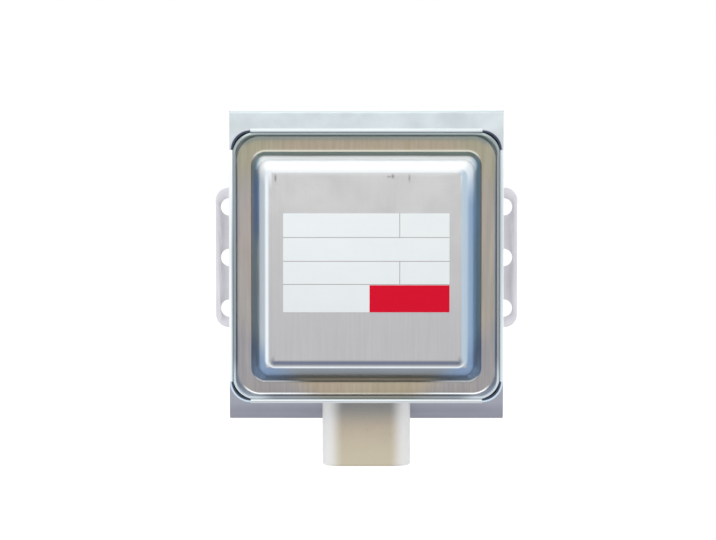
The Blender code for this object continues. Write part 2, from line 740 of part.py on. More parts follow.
def fin_profile(index):
    """A fin's centre line across the yoke: flat at the anode, sloped out, turned up at the walls."""
    rank = index - (FIN_COUNT - 1) / 2
    level = ANODE_MIDDLE + rank * FIN_PITCH
    wall_level = ANODE_MIDDLE + rank * FIN_WALL_PITCH
    wall = YOKE_HEIGHT / 2 - YOKE_SHEET - SEAT - FIN_SHEET / 2
    half = [(wall, wall_level + FIN_FLANGE, 0.0), (wall, wall_level, FIN_BEND), (FIN_FLAT, level, FIN_BEND)]
    return filleted(half + [(-y, z, r) for y, z, r in reversed(half)], closed=False, facets=FOLD), level


def cooling_fin(index):
    path, level = fin_profile(index)
    name = f"cooling_fin_{index + 1}"
    fin = slab(name, [band(path, FIN_SHEET)], FIN_WIDTH, ALUMINIUM, turn=ACROSS_X)
    bore = ANODE_RADIUS + SEAT
    top = (0, 0, level + COLLAR_HEIGHT)
    collar = rod(f"collar_{index + 1}", (0, 0, level), top, bore + FIN_SHEET, facets=ROUND)
    combine(fin, as_cutter(collar), "UNION")
    below = (0, 0, level - COLLAR_HEIGHT)
    above = (0, 0, level + 2 * COLLAR_HEIGHT)
    cut(fin, as_cutter(rod(f"fin_bore_{index + 1}", below, above, bore, facets=ROUND)))
    return fin


def antenna_lead():
    return wire("antenna_lead", antenna_path(), ANTENNA_RADIUS, COPPER, sides=2)


def antenna_ceramic():
    low = seal_top()
    high = low + CERAMIC_LENGTH
    section = [(CERAMIC_BORE, high), (CERAMIC_RADIUS, high), (CERAMIC_RADIUS, low), (CERAMIC_BORE, low)]
    return turned("antenna_ceramic", section, ALUMINA)


def exhaust_tube():
    """The pump-out tube on the ceramic, its tip pinched flat to seal it."""
    base = seal_top() + CERAMIC_LENGTH + SEAT
    flange = base + EXHAUST_FLANGE
    tip = base + EXHAUST_LENGTH
    pinch = tip - PINCH_LENGTH
    section = [
        (0.0, tip),
        (EXHAUST_RADIUS, tip),
        (EXHAUST_RADIUS, pinch),
        (EXHAUST_RADIUS, flange),
        (CAP_RADIUS - CAP_SHEET - SEAT, flange),
        (CAP_RADIUS - CAP_SHEET - SEAT, base),
        (EXHAUST_BORE, base),
        (EXHAUST_BORE, pinch),
        (0.0, pinch),
    ]
    tube = turned("exhaust_tube", section, COPPER, SMALL_ROUND, closed=False)
    for vert in tube.data.vertices:
        if vert.co.z > tip - SEAT:
            vert.co.x *= PINCH_WIDTH / 2 / EXHAUST_RADIUS
            vert.co.y *= PINCH_SHEET / 2 / EXHAUST_RADIUS
    return tube


def antenna_cap():
    """A drawn cap pressed over the exhaust tube's flange."""
    base = seal_top() + CERAMIC_LENGTH + SEAT
    top = base + CAP_LENGTH
    centre = (CAP_RADIUS - CAP_CORNER, top - CAP_CORNER)
    outside = [(0.0, top)] + arc(centre, CAP_CORNER, math.pi / 2, 0.0, FOLD)
    inner = CAP_RADIUS - CAP_SHEET
    inside = [(0.0, top - CAP_SHEET)] + arc(centre, CAP_CORNER - CAP_SHEET, math.pi / 2, 0.0, FOLD)
    section = outside + [(CAP_RADIUS, base), (inner, base)] + inside[::-1]
    return turned("antenna_cap", section, STEEL, closed=False)


def rf_gasket():
    """The knitted wire ring that seals the tube to the waveguide."""
    low = SEAT
    bore = CUP_RADIUS + SEAT
    width = GASKET_RADIUS - bore
    centre = ((bore + GASKET_RADIUS) / 2, low + GASKET_HEIGHT / 2)
    section = rounded_rectangle(width, GASKET_HEIGHT, GASKET_CORNER, centre, FOLD)
    return turned("rf_gasket", section, MESH_WIRE)


def square_ring(side, radius, level):
    return (side, side, radius, level)


def filter_box():
    """A drawn square can, open at the rim, which stands lower at its four corners."""
    rings = [square_ring(BOX_SIDE, BOX_CORNER, BOX_RIM)]
    for step in range(FOLD + 1):
        angle = math.pi / 2 * step / FOLD
        inset = BOX_BEND * (1 - math.cos(angle))
        level = BOX_BACK - BOX_BEND + BOX_BEND * math.sin(angle)
        rings.append(square_ring(BOX_SIDE - 2 * inset, BOX_CORNER - inset, level))
    box = loft("filter_box", rings, ZINC, cap_last=True)
    shell = box.modifiers.new("sheet", "SOLIDIFY")
    shell.thickness = BOX_SHEET
    shell.offset = -1.0
    shell.use_even_offset = True
    low = BOX_RIM - BOX_SHEET
    high = BOX_RIM + RIM_NOTCH
    inner = RIM_STRAIGHT / 2
    reach = BOX_SIDE
    signs = ((1, 1), (-1, 1), (-1, -1), (1, -1))
    notches = [(sorted((sx * inner, sx * reach)), sorted((sy * inner, sy * reach))) for sx, sy in signs]
    spans = [((x[0], y[0], low), (x[1], y[1], high)) for x, y in notches]
    cut(box, as_cutter(boxes("rim_notches", spans)))
    cut(box, tube_clearance("box_bore", BOX_BACK, BOX_FLOOR))
    for index, (x, y) in enumerate(square_corners(EYELET_SPACING), 1):
        above = (x, y, BOX_BACK + BOX_SHEET)
        below = (x, y, BOX_FLOOR - BOX_SHEET)
        hole = rod(f"box_eyelet_hole_{index}", above, below, EYELET_RADIUS + SEAT, facets=TINY_ROUND)
        cut(box, as_cutter(hole))
    cut(box, *terminal_passages("box_wall", WALL_INSIDE, WALL_OUTSIDE))
    return box


def terminal_passages(name, inside, outside):
    """Cuts the ways for the two necks and the two rivets through an upright sheet."""
    tools = []
    margin = outside - inside
    ways = (("neck", BLADE_SPACING, GROUND_HOLE), ("rivet", RIVET_SPACING, RIVET_RADIUS + SEAT))
    for kind, spacing, radius in ways:
        for side in (-1, 1):
            x = side * spacing / 2
            near = (x, inside - margin, TERMINAL_LEVEL)
            far = (x, outside + margin, TERMINAL_LEVEL)
            word = "right" if side > 0 else "left"
            tools.append(as_cutter(rod(f"{name}_{kind}_hole_{word}", near, far, radius)))
    return tools


def filter_cover():
    """A pressed tray: upturned lip, flat flange, riser, rounded shoulder and raised plateau."""
    corner = COVER_CORNER - COVER_SHEET
    rings = [square_ring(LIP_SIDE, corner, LIP_EDGE)]
    for step in range(ARC + 1):
        angle = math.pi / 2 * step / ARC
        inset = COVER_LIP_BEND * (1 - math.cos(angle))
        level = FLANGE_FACE - COVER_LIP_BEND + COVER_LIP_BEND * math.sin(angle)
        rings.append(square_ring(LIP_SIDE - 2 * inset, corner - inset, level))
    rings.append(square_ring(STEP_SIDE + 2 * STEP_FOOT, STEP_CORNER + STEP_FOOT, FLANGE_FACE))
    rings.append(square_ring(STEP_SIDE, STEP_CORNER, FLANGE_FACE - STEP_FOOT))
    for step in range(ARC + 2):
        angle = math.pi / 2 * step / (ARC + 1)
        out = SHOULDER_REACH * math.cos(angle)
        level = FLANGE_FACE - RISER_HEIGHT - SHOULDER_HEIGHT * math.sin(angle)
        rings.append(square_ring(TOP_SIDE + 2 * out, TOP_CORNER + out * CORNER_GROWTH, level))
    cover = loft("filter_cover", rings, ZINC, cap_last=True)
    sheet = cover.modifiers.new("sheet", "SOLIDIFY")
    sheet.thickness = COVER_SHEET
    sheet.offset = 1.0
    sheet.use_even_offset = True
    return cover


def terminal_centre(y):
    return (0.0, y, TERMINAL_LEVEL)


def capacitor_case():
    """The moulded shroud round the two blades, open at its end."""
    inner_width = CASE_WIDTH - 2 * CASE_WALL
    inner_depth = CASE_DEPTH - 2 * CASE_WALL
    inner_corner = CASE_CORNER - CASE_WALL
    rings = [(CASE_WIDTH, CASE_DEPTH, CASE_CORNER, 0.0)]
    for step in range(ARC + 1):
        angle = math.pi / 2 * step / ARC
        inset = CASE_EDGE * (1 - math.cos(angle))
        level = CASE_LENGTH - CASE_EDGE + CASE_EDGE * math.sin(angle)
        rings.append((CASE_WIDTH - 2 * inset, CASE_DEPTH - 2 * inset, CASE_CORNER - inset, level))
    rings.append((inner_width, inner_depth, inner_corner, CASE_LENGTH))
    rings.append((inner_width, inner_depth, inner_corner, 0.0))
    turn = (-math.pi / 2, 0.0, 0.0)
    return loft("capacitor_case", rings, PLASTIC, True, place_at=terminal_centre(CASE_START), turn=turn)


def neck_centres():
    return [(side * BLADE_SPACING / 2, 0.0) for side in (-1, 1)]


def capacitor_potting():
    width = CASE_WIDTH - 2 * (CASE_WALL + SEAT)
    depth = CASE_DEPTH - 2 * (CASE_WALL + SEAT)
    outline = rounded_rectangle(width, depth, CASE_CORNER - CASE_WALL - SEAT)
    slot = (NECK_WIDTH + 2 * SEAT, BLADE_SHEET + 2 * SEAT)
    slots = [rounded_rectangle(*slot, 0.0, centre) for centre in neck_centres()]
    centre = terminal_centre(CASE_START + POTTING_DEPTH / 2)
    return slab("capacitor_potting", [outline] + slots, POTTING_DEPTH, EPOXY, centre, ACROSS_Y)


def capacitor_ground_plate():
    plate = rounded_rectangle(GROUND_WIDTH, GROUND_DEPTH, GROUND_CORNER)
    necks = [circle(GROUND_HOLE, SMALL_ROUND, centre) for centre in neck_centres()]
    rivets = [circle(RIVET_RADIUS + SEAT, TINY_ROUND, (side * RIVET_SPACING / 2, 0.0)) for side in (-1, 1)]
    centre = terminal_centre(GROUND_INSIDE + GROUND_SHEET / 2)
    return slab("capacitor_ground_plate", [plate] + necks + rivets, GROUND_SHEET, ZINC, centre, ACROSS_Y)


def capacitor_inner_case():
    outer = rounded_rectangle(INNER_CASE_WIDTH, INNER_CASE_DEPTH, INNER_CASE_CORNER)
    walls = 2 * INNER_CASE_WALL
    corner = INNER_CASE_CORNER - INNER_CASE_WALL
    inner = rounded_rectangle(INNER_CASE_WIDTH - walls, INNER_CASE_DEPTH - walls, corner)
    centre = terminal_centre(BLOCK_START - INNER_CASE_LENGTH / 2)
    return slab("capacitor_inner_case", [outer, inner], INNER_CASE_LENGTH, PLASTIC, centre, ACROSS_Y)


def capacitor_ceramic():
    trim = INNER_CASE_WALL + SEAT
    width = INNER_CASE_WIDTH - 2 * trim
    depth = INNER_CASE_DEPTH - 2 * trim
    outline = rounded_rectangle(width, depth, INNER_CASE_CORNER - trim)
    bore = math.hypot(NECK_WIDTH, BLADE_SHEET) / 2 + SEAT
    bores = [circle(bore, SMALL_ROUND, centre) for centre in neck_centres()]
    centre = terminal_centre(BLOCK_START - BLOCK_LENGTH / 2)
    return slab("capacitor_ceramic", [outline] + bores, BLOCK_LENGTH, CERAMIC, centre, ACROSS_Y)


def terminal_blade(name, side):
    """One conductor: a push-on blade outside and a narrow neck through to its choke."""
    x = side * BLADE_SPACING / 2
    shoulder = CASE_START + POTTING_DEPTH + SEAT
    tip = CASE_END - BLADE_SET_BACK
    blade = BLADE_WIDTH / 2
    neck = NECK_WIDTH / 2
    right_half = [
        (neck, NECK_END),
        (neck, shoulder),
        (blade, shoulder),
        (blade, tip - BLADE_CHAMFER),
        (blade - BLADE_CHAMFER, tip),
    ]
    outline = right_half + [(-a, b) for a, b in reversed(right_half)]
    return slab(name, [outline], BLADE_SHEET, TIN, (x, 0, TERMINAL_LEVEL))


def capacitor_rivet(name, side):
    """A low rivet through the box wall and the ground plate."""
    half = (WALL_OUTSIDE - GROUND_INSIDE) / 2 + SEAT
    top = half + RIVET_HEAD_HEIGHT
    upper = [(RIVET_HEAD, top), (RIVET_HEAD, half), (RIVET_RADIUS, half)]
    section = [(0.0, top)] + upper + [(r, -z) for r, z in reversed(upper)] + [(0.0, -top)]
    centre = (side * RIVET_SPACING / 2, (WALL_OUTSIDE + GROUND_INSIDE) / 2, TERMINAL_LEVEL)
    return turned(name, section, STEEL, TINY_ROUND, closed=False, place_at=centre, turn=ACROSS_Y)


def choke(word, side):
    """A coil on a ferrite rod beside the stem, from the stem's lug to the capacitor's neck."""
    x = side * COIL_SPACING / 2
    length = COIL_TURNS * COIL_PITCH
    start = -length / 2 - COIL_PITCH
    inward = -side
    steps = COIL_TURNS * TURN_POINTS
    lug_x = side * (LUG_REACH - LUG_GAP - 2 * COIL_WIRE)
    neck_x = side * BLADE_SPACING / 2
    neck_level = TERMINAL_LEVEL - BLADE_SHEET / 2 - SEAT - COIL_WIRE
    near = x + inward * (COIL_RADIUS + COIL_WIRE * 2)
    points = [(lug_x, LUG_WIDTH / 2 - COIL_WIRE, COIL_LEVEL), (lug_x, -LUG_WIDTH / 2, COIL_LEVEL)]
    points.append(((lug_x + near) / 2, start - COIL_PITCH / 2, COIL_LEVEL))
    for step in range(steps + 1):
        angle = 2 * math.pi * step / steps
        angle *= COIL_TURNS
        across = inward * COIL_RADIUS * math.cos(angle)
        up = COIL_RADIUS * math.sin(angle)
        points.append((x + across, start + length * step / steps, COIL_LEVEL + up))
    end = start + length
    points.append((near + inward * COIL_WIRE, end + COIL_PITCH, (COIL_LEVEL + neck_level) / 2))
    points.append((neck_x, NECK_END, neck_level))
    points.append((neck_x, NECK_END + NECK_OVERHANG / 2, neck_level))
    wire(f"choke_coil_{word}", points, COIL_WIRE, ENAMEL)
    middle = start + length / 2
    low = (x, middle - CORE_LENGTH / 2, COIL_LEVEL)
    high = (x, middle + CORE_LENGTH / 2, COIL_LEVEL)
    rod(f"choke_core_{word}", low, high, CORE_RADIUS, FERRITE)


yoke_frame()
mounting_plate()
magnet("output_magnet", OUTPUT_MAGNET_FRONT)
magnet("input_magnet", INPUT_MAGNET_FRONT)
anode_cylinder()
for number in range(VANE_COUNT):
    anode_vane(number)
for word, radius in (("inner", STRAP_INNER), ("outer", STRAP_OUTER)):
    strap(f"output_{word}_strap", radius, 1)
    strap(f"input_{word}_strap", radius, -1)
output_pole_piece()
pole_piece("input_pole_piece", -1)
output_seal_cup()
input_seal_cup()
filament()
end_hat("output_end_hat", 1)
end_hat("input_end_hat", -1)
cathode_leads()
stem_ceramic()
stem_terminals()
for number in range(FIN_COUNT):
    cooling_fin(number)
antenna_lead()
antenna_ceramic()
exhaust_tube()
antenna_cap()
rf_gasket()
filter_box()
filter_cover()
capacitor_case()
capacitor_potting()
capacitor_ground_plate()
capacitor_inner_case()
capacitor_ceramic()
for word, sign in (("left", -1), ("right", 1)):
    terminal_blade(f"terminal_blade_{word}", sign)
    capacitor_rivet(f"capacitor_rivet_{word}", sign)
    choke(word, sign)
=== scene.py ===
# %% [markdown]
# # A packaged magnetron, seen from its filter cover
#
# The object is the microwave source of a kitchen oven: a square filter box with a pressed cover stands in
# front, a folded steel yoke with magnets and cooling fins behind it, and an antenna on the far side. The
# solid model is loaded first and never changes. This lesson then dresses it: sheet metal is pressed again
# with round bends and thin edges, turned pieces are spun fine, and every surface gets a finish of its
# own.

# %% Load the solid model
import json
import math

import bmesh
import bpy
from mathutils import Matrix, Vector


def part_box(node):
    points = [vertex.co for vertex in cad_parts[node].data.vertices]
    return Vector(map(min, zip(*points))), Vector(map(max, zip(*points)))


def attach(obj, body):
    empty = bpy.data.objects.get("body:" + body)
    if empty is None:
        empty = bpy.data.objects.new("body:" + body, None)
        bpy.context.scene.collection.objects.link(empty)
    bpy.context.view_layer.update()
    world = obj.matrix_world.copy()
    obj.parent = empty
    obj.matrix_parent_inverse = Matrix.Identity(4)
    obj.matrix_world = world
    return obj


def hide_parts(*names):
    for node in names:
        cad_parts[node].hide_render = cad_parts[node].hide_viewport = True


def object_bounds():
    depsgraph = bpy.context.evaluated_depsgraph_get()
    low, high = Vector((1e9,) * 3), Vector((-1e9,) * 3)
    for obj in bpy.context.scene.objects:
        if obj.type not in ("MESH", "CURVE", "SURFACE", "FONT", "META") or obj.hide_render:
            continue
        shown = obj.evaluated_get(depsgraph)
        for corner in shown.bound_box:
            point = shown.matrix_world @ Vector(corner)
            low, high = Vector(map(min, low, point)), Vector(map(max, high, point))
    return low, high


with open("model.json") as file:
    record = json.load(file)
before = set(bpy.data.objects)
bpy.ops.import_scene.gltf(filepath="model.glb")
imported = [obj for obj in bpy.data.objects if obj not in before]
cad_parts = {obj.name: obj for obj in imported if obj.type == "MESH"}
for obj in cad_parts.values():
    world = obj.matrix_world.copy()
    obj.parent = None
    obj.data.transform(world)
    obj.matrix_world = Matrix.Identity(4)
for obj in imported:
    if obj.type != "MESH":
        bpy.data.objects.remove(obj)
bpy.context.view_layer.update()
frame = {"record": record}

MM = 0.001

# %% [markdown]
# ## How the pieces are made
#
# Sheet metal and turned metal are both drawn in the tube's own frame, where the tube's axis is Z, because
# an outline, a spin or a bridge is easiest to describe there. When a piece is finished it is laid on its
# side, and its place is applied to its mesh, so that its object ends up at the origin like the solid
# nodes.

# %% Selecting and laying down
LIE_DOWN = (-math.pi / 2, 0.0, 0.0)
ROUND = 96
TINY = 0.002 * MM
stands_for = {}


def nothing_selected():
    """Leaves edit mode and drops the selection that loading or the last piece left behind."""
    if bpy.context.object and bpy.context.object.mode != "OBJECT":
        bpy.ops.object.mode_set(mode="OBJECT")
    bpy.ops.object.select_all(action="DESELECT")


def pick(test, kind="verts"):
    """In edit mode, selects the corners, edges or faces whose middle passes a test."""
    shape = bmesh.from_edit_mesh(bpy.context.object.data)
    bpy.ops.mesh.select_all(action="DESELECT")
    for item in getattr(shape, kind):
        place = item.co if kind == "verts" else sum((v.co for v in item.verts), Vector()) / len(item.verts)
        if test(place):
            item.select_set(True)
    shape.select_flush_mode()
    bmesh.update_edit_mesh(bpy.context.object.data)


def apply_modifier(kind, **settings):
    """Adds one modifier to the active object and applies it."""
    step = bpy.context.object.modifiers.new(kind.lower(), kind)
    for name, value in settings.items():
        setattr(step, name, value)
    bpy.ops.object.modifier_apply(modifier=step.name)


def break_edges(width, segments=2, steeper_than=60):
    """Bevels every edge that turns by more than an angle in degrees."""
    limit = math.radians(steeper_than)
    apply_modifier("BEVEL", width=width, segments=segments, limit_method="ANGLE", angle_limit=limit)


def recalculate_normals():
    bpy.ops.object.mode_set(mode="EDIT")
    bpy.ops.mesh.select_all(action="SELECT")
    bpy.ops.mesh.normals_make_consistent(inside=False)
    bpy.ops.object.mode_set(mode="OBJECT")


def finish_piece(name, *nodes, smooth=30, turn=LIE_DOWN, at=(0.0, 0.0, 0.0)):
    """Smooths the active piece, lays it in its place and lets it stand for its solid nodes."""
    piece = bpy.context.object
    piece.name = name
    bpy.ops.object.shade_smooth_by_angle(angle=math.radians(smooth))
    piece.rotation_euler = turn
    piece.location = at
    bpy.ops.object.transform_apply(location=True, rotation=True, scale=True)
    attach(piece, "root")
    if nodes:
        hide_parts(*nodes)
        stands_for[name] = nodes[0]
    print(name, len(piece.data.polygons), "faces")
    return piece


# %% [markdown]
# ## The camera
#
# The photograph was taken from far away with a long lens, straight at the cover and a little from above.
# The nearer cover hides all but a frame of the yoke behind it, and how wide that frame is tells the
# distance.

# %% Camera
CAMERA_DISTANCE = 650 * MM
CAMERA_RISE = math.radians(2.0)
CAMERA_TURN = math.radians(0.25)
CAMERA_LENS = 116.5
AIM_ACROSS = -2.33 * MM
AIM_UP = -1.12 * MM

box_low, box_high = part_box("filter_box")
aim = Vector((AIM_ACROSS, box_low.y, AIM_UP))
flat = math.cos(CAMERA_RISE)
back = Vector((flat * math.sin(CAMERA_TURN), -flat * math.cos(CAMERA_TURN), math.sin(CAMERA_RISE)))
camera = bpy.data.objects.new("camera", bpy.data.cameras.new("camera"))
camera.data.lens = CAMERA_LENS
camera.data.clip_start = 0.01
camera.location = aim + back * CAMERA_DISTANCE
camera.rotation_euler = (-back).to_track_quat("-Z", "Y").to_euler()
bpy.context.collection.objects.link(camera)
bpy.context.scene.camera = camera
print("camera at", tuple(round(value, 4) for value in camera.location))

# %% [markdown]
# ## Shader maths that reads like Python
#
# A finish is a web of nodes. Wiring it by hand is long, so one small class wraps a socket and overloads
# the operators: `1 - mask` then adds the Math node that does it. Colours go through Mix nodes instead,
# because a Math node would turn them grey.

# %% Signal and Finish


class Signal:
    """One output of a node, so that sums and products of it can be written as expressions."""

    def __init__(self, finish, socket):
        self.finish = finish
        self.socket = socket

    def maths(self, operation, *terms):
        return self.finish.add("ShaderNodeMath", {"operation": operation}, terms)

    def __add__(self, other):
        return self.maths("ADD", self, other)

    __radd__ = __add__

    def __mul__(self, other):
        return self.maths("MULTIPLY", self, other)

    __rmul__ = __mul__

    def __sub__(self, other):
        return self.maths("SUBTRACT", self, other)

    def __rsub__(self, other):
        return self.maths("SUBTRACT", other, self)

    def __abs__(self):
        return self.maths("ABSOLUTE", self)

    def __pow__(self, other):
        return self.maths("POWER", self, other)

    def __gt__(self, other):
        return self.maths("GREATER_THAN", self, other)

    def __lt__(self, other):
        return self.maths("LESS_THAN", self, other)

    def larger(self, other):
        return self.maths("MAXIMUM", self, other)

    def rise(self, low, high):
        """0 below low, 1 above high and a smooth step between; high may be the smaller one."""
        settings = {"interpolation_type": "SMOOTHSTEP"}
        return self.finish.add("ShaderNodeMapRange", settings, {0: self, 1: low, 2: high, 3: 0.0, 4: 1.0})

    def near(self, middle, width):
        """1 at one value, falling smoothly to 0 a width away."""
        return abs(self - middle).rise(width, 0.0)


SOCKET_NAMES = {"specular_ior_level": "Specular IOR Level"}


class Finish:
    """A material with one Principled shader, built up node by node."""

    def __init__(self, name, colour, roughness, metallic=0.0, **sockets):
        self.material = bpy.data.materials.new(name)
        self.material.use_nodes = True
        self.tree = self.material.node_tree
        self.shader = self.tree.nodes["Principled BSDF"]
        self.colour = (*colour, 1.0)
        self.set("Base Color", self.colour)
        self.set("Roughness", roughness)
        self.set("Metallic", metallic)
        for socket, value in sockets.items():
            self.set(SOCKET_NAMES[socket], value)

    def set(self, socket, value):
        if isinstance(value, Signal):
            self.tree.links.new(value.socket, self.shader.inputs[socket])
        else:
            self.shader.inputs[socket].default_value = value

    def add(self, kind, settings=None, sockets=(), output=0):
        """Any node: its own settings first, then a value or a link for each socket."""
        node = self.tree.nodes.new(kind)
        for name, value in (settings or {}).items():
            setattr(node, name, value)
        pairs = sockets.items() if isinstance(sockets, dict) else enumerate(sockets)
        for key, value in pairs:
            if isinstance(value, Signal):
                self.tree.links.new(value.socket, node.inputs[key])
            else:
                node.inputs[key].default_value = value
        return Signal(self, node.outputs[output])

    def point(self, stretch=(1.0, 1.0, 1.0)):
        """Object coordinates, stretched along an axis for a grain."""
        place = self.add("ShaderNodeTexCoord", output=3)
        return self.add("ShaderNodeMapping", {}, {0: place, 3: stretch})

    def axes(self):
        """The three object coordinates as numbers, in metres."""
        place = self.add("ShaderNodeTexCoord", output=3)
        return [self.add("ShaderNodeSeparateXYZ", {}, [place], output) for output in range(3)]

    def noise(self, scale, detail=3.0, roughness=0.5, stretch=(1.0, 1.0, 1.0)):
        """Noise around 0.5, with scale in features to the metre."""
        where = self.point(stretch)
        return self.add("ShaderNodeTexNoise", {}, {0: where, 2: scale, 3: detail, 4: roughness})

    def blend(self, factor, under, over):
        """One colour over another."""
        settings = {"data_type": "RGBA"}
        return self.add("ShaderNodeMix", settings, {0: factor, 6: under, 7: over}, output=2)

    def layered(self, coat, layers):
        """Lays (mask, colour) layers over a coat, the first one lowest."""
        for mask, colour in layers:
            coat = self.blend(mask, coat, colour)
        return coat

    def bump(self, height, depth):
        """Relief from a height between 0 and 1, with its depth in metres."""
        self.set("Normal", self.add("ShaderNodeBump", {}, {"Distance": depth, "Height": height}))


# %% [markdown]
# ## Pressed sheet
#
# The cover and the filter box are each one blank of steel that a press has drawn into a square tray. A
# tray is a stack of rounded squares: each one is added as a plane, its corners are rounded with a vertex
# bevel, and neighbouring outlines are bridged. The skin then gets the thickness of the sheet from
# Solidify, and a small bevel breaks its edges the way a press tool does.

# %% Pressing tool
CORNER_FACETS = 12


def add_outline(width, height, corner, level, shift=0.0):
    """One rounded rectangle in edit mode, remembered as a vertex group of its own."""
    bpy.ops.mesh.select_all(action="DESELECT")
    bpy.ops.mesh.primitive_plane_add(size=1.0, location=(0.0, shift, level))
    bpy.ops.transform.resize(value=(width, height, 1.0), center_override=(0.0, shift, level))
    bpy.ops.mesh.bevel(offset=corner, segments=CORNER_FACETS, affect="VERTICES")
    bpy.ops.object.vertex_group_assign_new()
    bpy.ops.mesh.delete(type="ONLY_FACE")


def select_groups(*indices):
    bpy.ops.mesh.select_all(action="DESELECT")
    for index in indices:
        bpy.context.object.vertex_groups.active_index = index
        bpy.ops.object.vertex_group_select()


def press(rings, front, closed=False):
    """Bridges outlines, each (width, height, corner, level), into a tray whose floor faces front."""
    nothing_selected()
    bpy.ops.object.add(type="MESH")
    bpy.ops.object.mode_set(mode="EDIT")
    for ring in rings:
        add_outline(*ring)
    last = len(rings) - 1
    pairs = [(index, index + 1) for index in range(last)] + ([(last, 0)] if closed else [])
    for pair in pairs:
        select_groups(*pair)
        bpy.ops.mesh.bridge_edge_loops()
    if not closed:
        select_groups(last)
        bpy.ops.mesh.edge_face_add()
    bpy.ops.object.mode_set(mode="OBJECT")
    bpy.context.object.vertex_groups.clear()
    recalculate_normals()
    face_the_floor(rings[last][3], front)
    return bpy.context.object


def face_the_floor(level, front):
    """Turns every face over if the tray's floor looks the wrong way along the tube."""
    floor = [face for face in bpy.context.object.data.polygons if abs(face.center.z - level) < TINY]
    if floor and front * sum(face.normal.z * face.area for face in floor) < 0:
        bpy.ops.object.mode_set(mode="EDIT")
        bpy.ops.mesh.select_all(action="SELECT")
        bpy.ops.mesh.flip_normals()
        bpy.ops.object.mode_set(mode="OBJECT")


def bend_rings(side, corner, start, radius, steps):
    """Outlines round a bend, from the wall at start to the floor a radius further on."""
    rings = []
    for step in range(steps + 1):
        angle = math.pi / 2 * step / steps
        inset = radius * (1 - math.cos(angle))
        level = start + radius * math.sin(angle)
        rings.append((side - 2 * inset, side - 2 * inset, max(corner - inset, TINY), level))
    return rings


# %% [markdown]
# ## Filter cover
#
# The cover is what the photograph shows best: an upturned lip all round, a tight bend, a flat flange, a
# steep riser, a full rounded shoulder and a flat raised plateau with a faint coined line round it. The
# lip's edge has tighter corners than the bend below it, so the lip leans outwards there and follows the
# can.

# %% Filter cover
COVER_SHEET = 0.8 * MM
LIP_SET_BACK = 0.3 * MM
LIP_EDGE_CORNER = 4.9 * MM
LIP_CORNER = 6.9 * MM
LIP_BEND = 0.9 * MM
LIP_PLAY = 0.04 * MM
BOX_SHEET = 1.0 * MM
STEP_SIDE = 64.4 * MM
STEP_CORNER = 3.9 * MM
STEP_DROP = 0.33 * MM
FLANGE_FALL = 0.05 * MM
FOOT_FILLET = 0.45 * MM
RISER_WIDTH = 1.7 * MM
TOP_SIDE = 53.2 * MM
TOP_CORNER = 1.2 * MM
CORNER_GROWTH = 0.6
TOP_DROP = 0.66 * MM
COIN_WIDTH = 0.5 * MM
COIN_DEPTH = 0.10 * MM
LABEL_SHEET = 0.1 * MM
SHOULDER_SHARE = 0.52
COVER_EDGE = 0.12 * MM
LIP_STEPS = 6
FOOT_STEPS = 3
SHOULDER_STEPS = 12

cover_low, cover_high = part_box("filter_cover")
cover_top = cover_low.y + LABEL_SHEET
flange_face = cover_high.y - COVER_SHEET
lip_edge = box_low.y + LIP_SET_BACK
lip_side = box_high.x - box_low.x - 2 * (BOX_SHEET + LIP_PLAY + COVER_SHEET)


def square(side, corner, level, shift=0.0):
    return (side, side, corner, level, shift)


def cover_rings():
    """The cover's front skin from the lip's edge to the plateau, ring by ring."""
    rings = [square(lip_side, LIP_EDGE_CORNER, lip_edge)]
    rings += bend_rings(lip_side, LIP_CORNER, flange_face - LIP_BEND, LIP_BEND, LIP_STEPS)
    for step in range(FOOT_STEPS + 1):
        angle = math.pi / 2 * step / FOOT_STEPS
        out = FOOT_FILLET * (1 - math.sin(angle))
        down = FOOT_FILLET * (1 - math.cos(angle))
        level = flange_face - FLANGE_FALL - down
        rings.append(square(STEP_SIDE + 2 * out, STEP_CORNER + out, level, STEP_DROP))
    reach = STEP_SIDE / 2 - RISER_WIDTH - TOP_SIDE / 2
    drop = (flange_face - cover_top) * SHOULDER_SHARE
    for step in range(SHOULDER_STEPS + 1):
        angle = math.pi / 2 * step / SHOULDER_STEPS
        out = reach * math.cos(angle)
        level = cover_top + drop * (1 - math.sin(angle))
        shift = TOP_DROP + (STEP_DROP - TOP_DROP) * out / reach / 2
        rings.append(square(TOP_SIDE + 2 * out, TOP_CORNER + out * CORNER_GROWTH, level, shift))
    rings.append(square(TOP_SIDE - COIN_WIDTH, TOP_CORNER, cover_top + COIN_DEPTH, TOP_DROP))
    rings.append(square(TOP_SIDE - 3 * COIN_WIDTH, TOP_CORNER, cover_top, TOP_DROP))
    return rings


press(cover_rings(), front=-1)
apply_modifier("SOLIDIFY", thickness=COVER_SHEET, offset=-1.0, use_even_offset=True)
break_edges(COVER_EDGE)
finish_piece("filter_cover_pressed", "filter_cover")

# %% [markdown]
# ## Filter box
#
# The box behind the cover is a deeper drawn can. Its rim is trimmed lower at the four rounded corners,
# which is where the photograph shows dark crescents between the cover and the can. Here the rim's band of
# faces is simply deleted at the corners before the skin gets its thickness.

# %% Filter box
BOX_CORNER = 6.0 * MM
BOX_BEND = 2.5 * MM
BOX_BEND_STEPS = 8
BOX_EDGE = 0.15 * MM
RIM_NOTCH = 2.0 * MM
TUBE_HOLE = 11.0 * MM
EYELET_SPACING = 56.0 * MM
EYELET_RADIUS = 2.2 * MM
GAP = 0.3 * MM


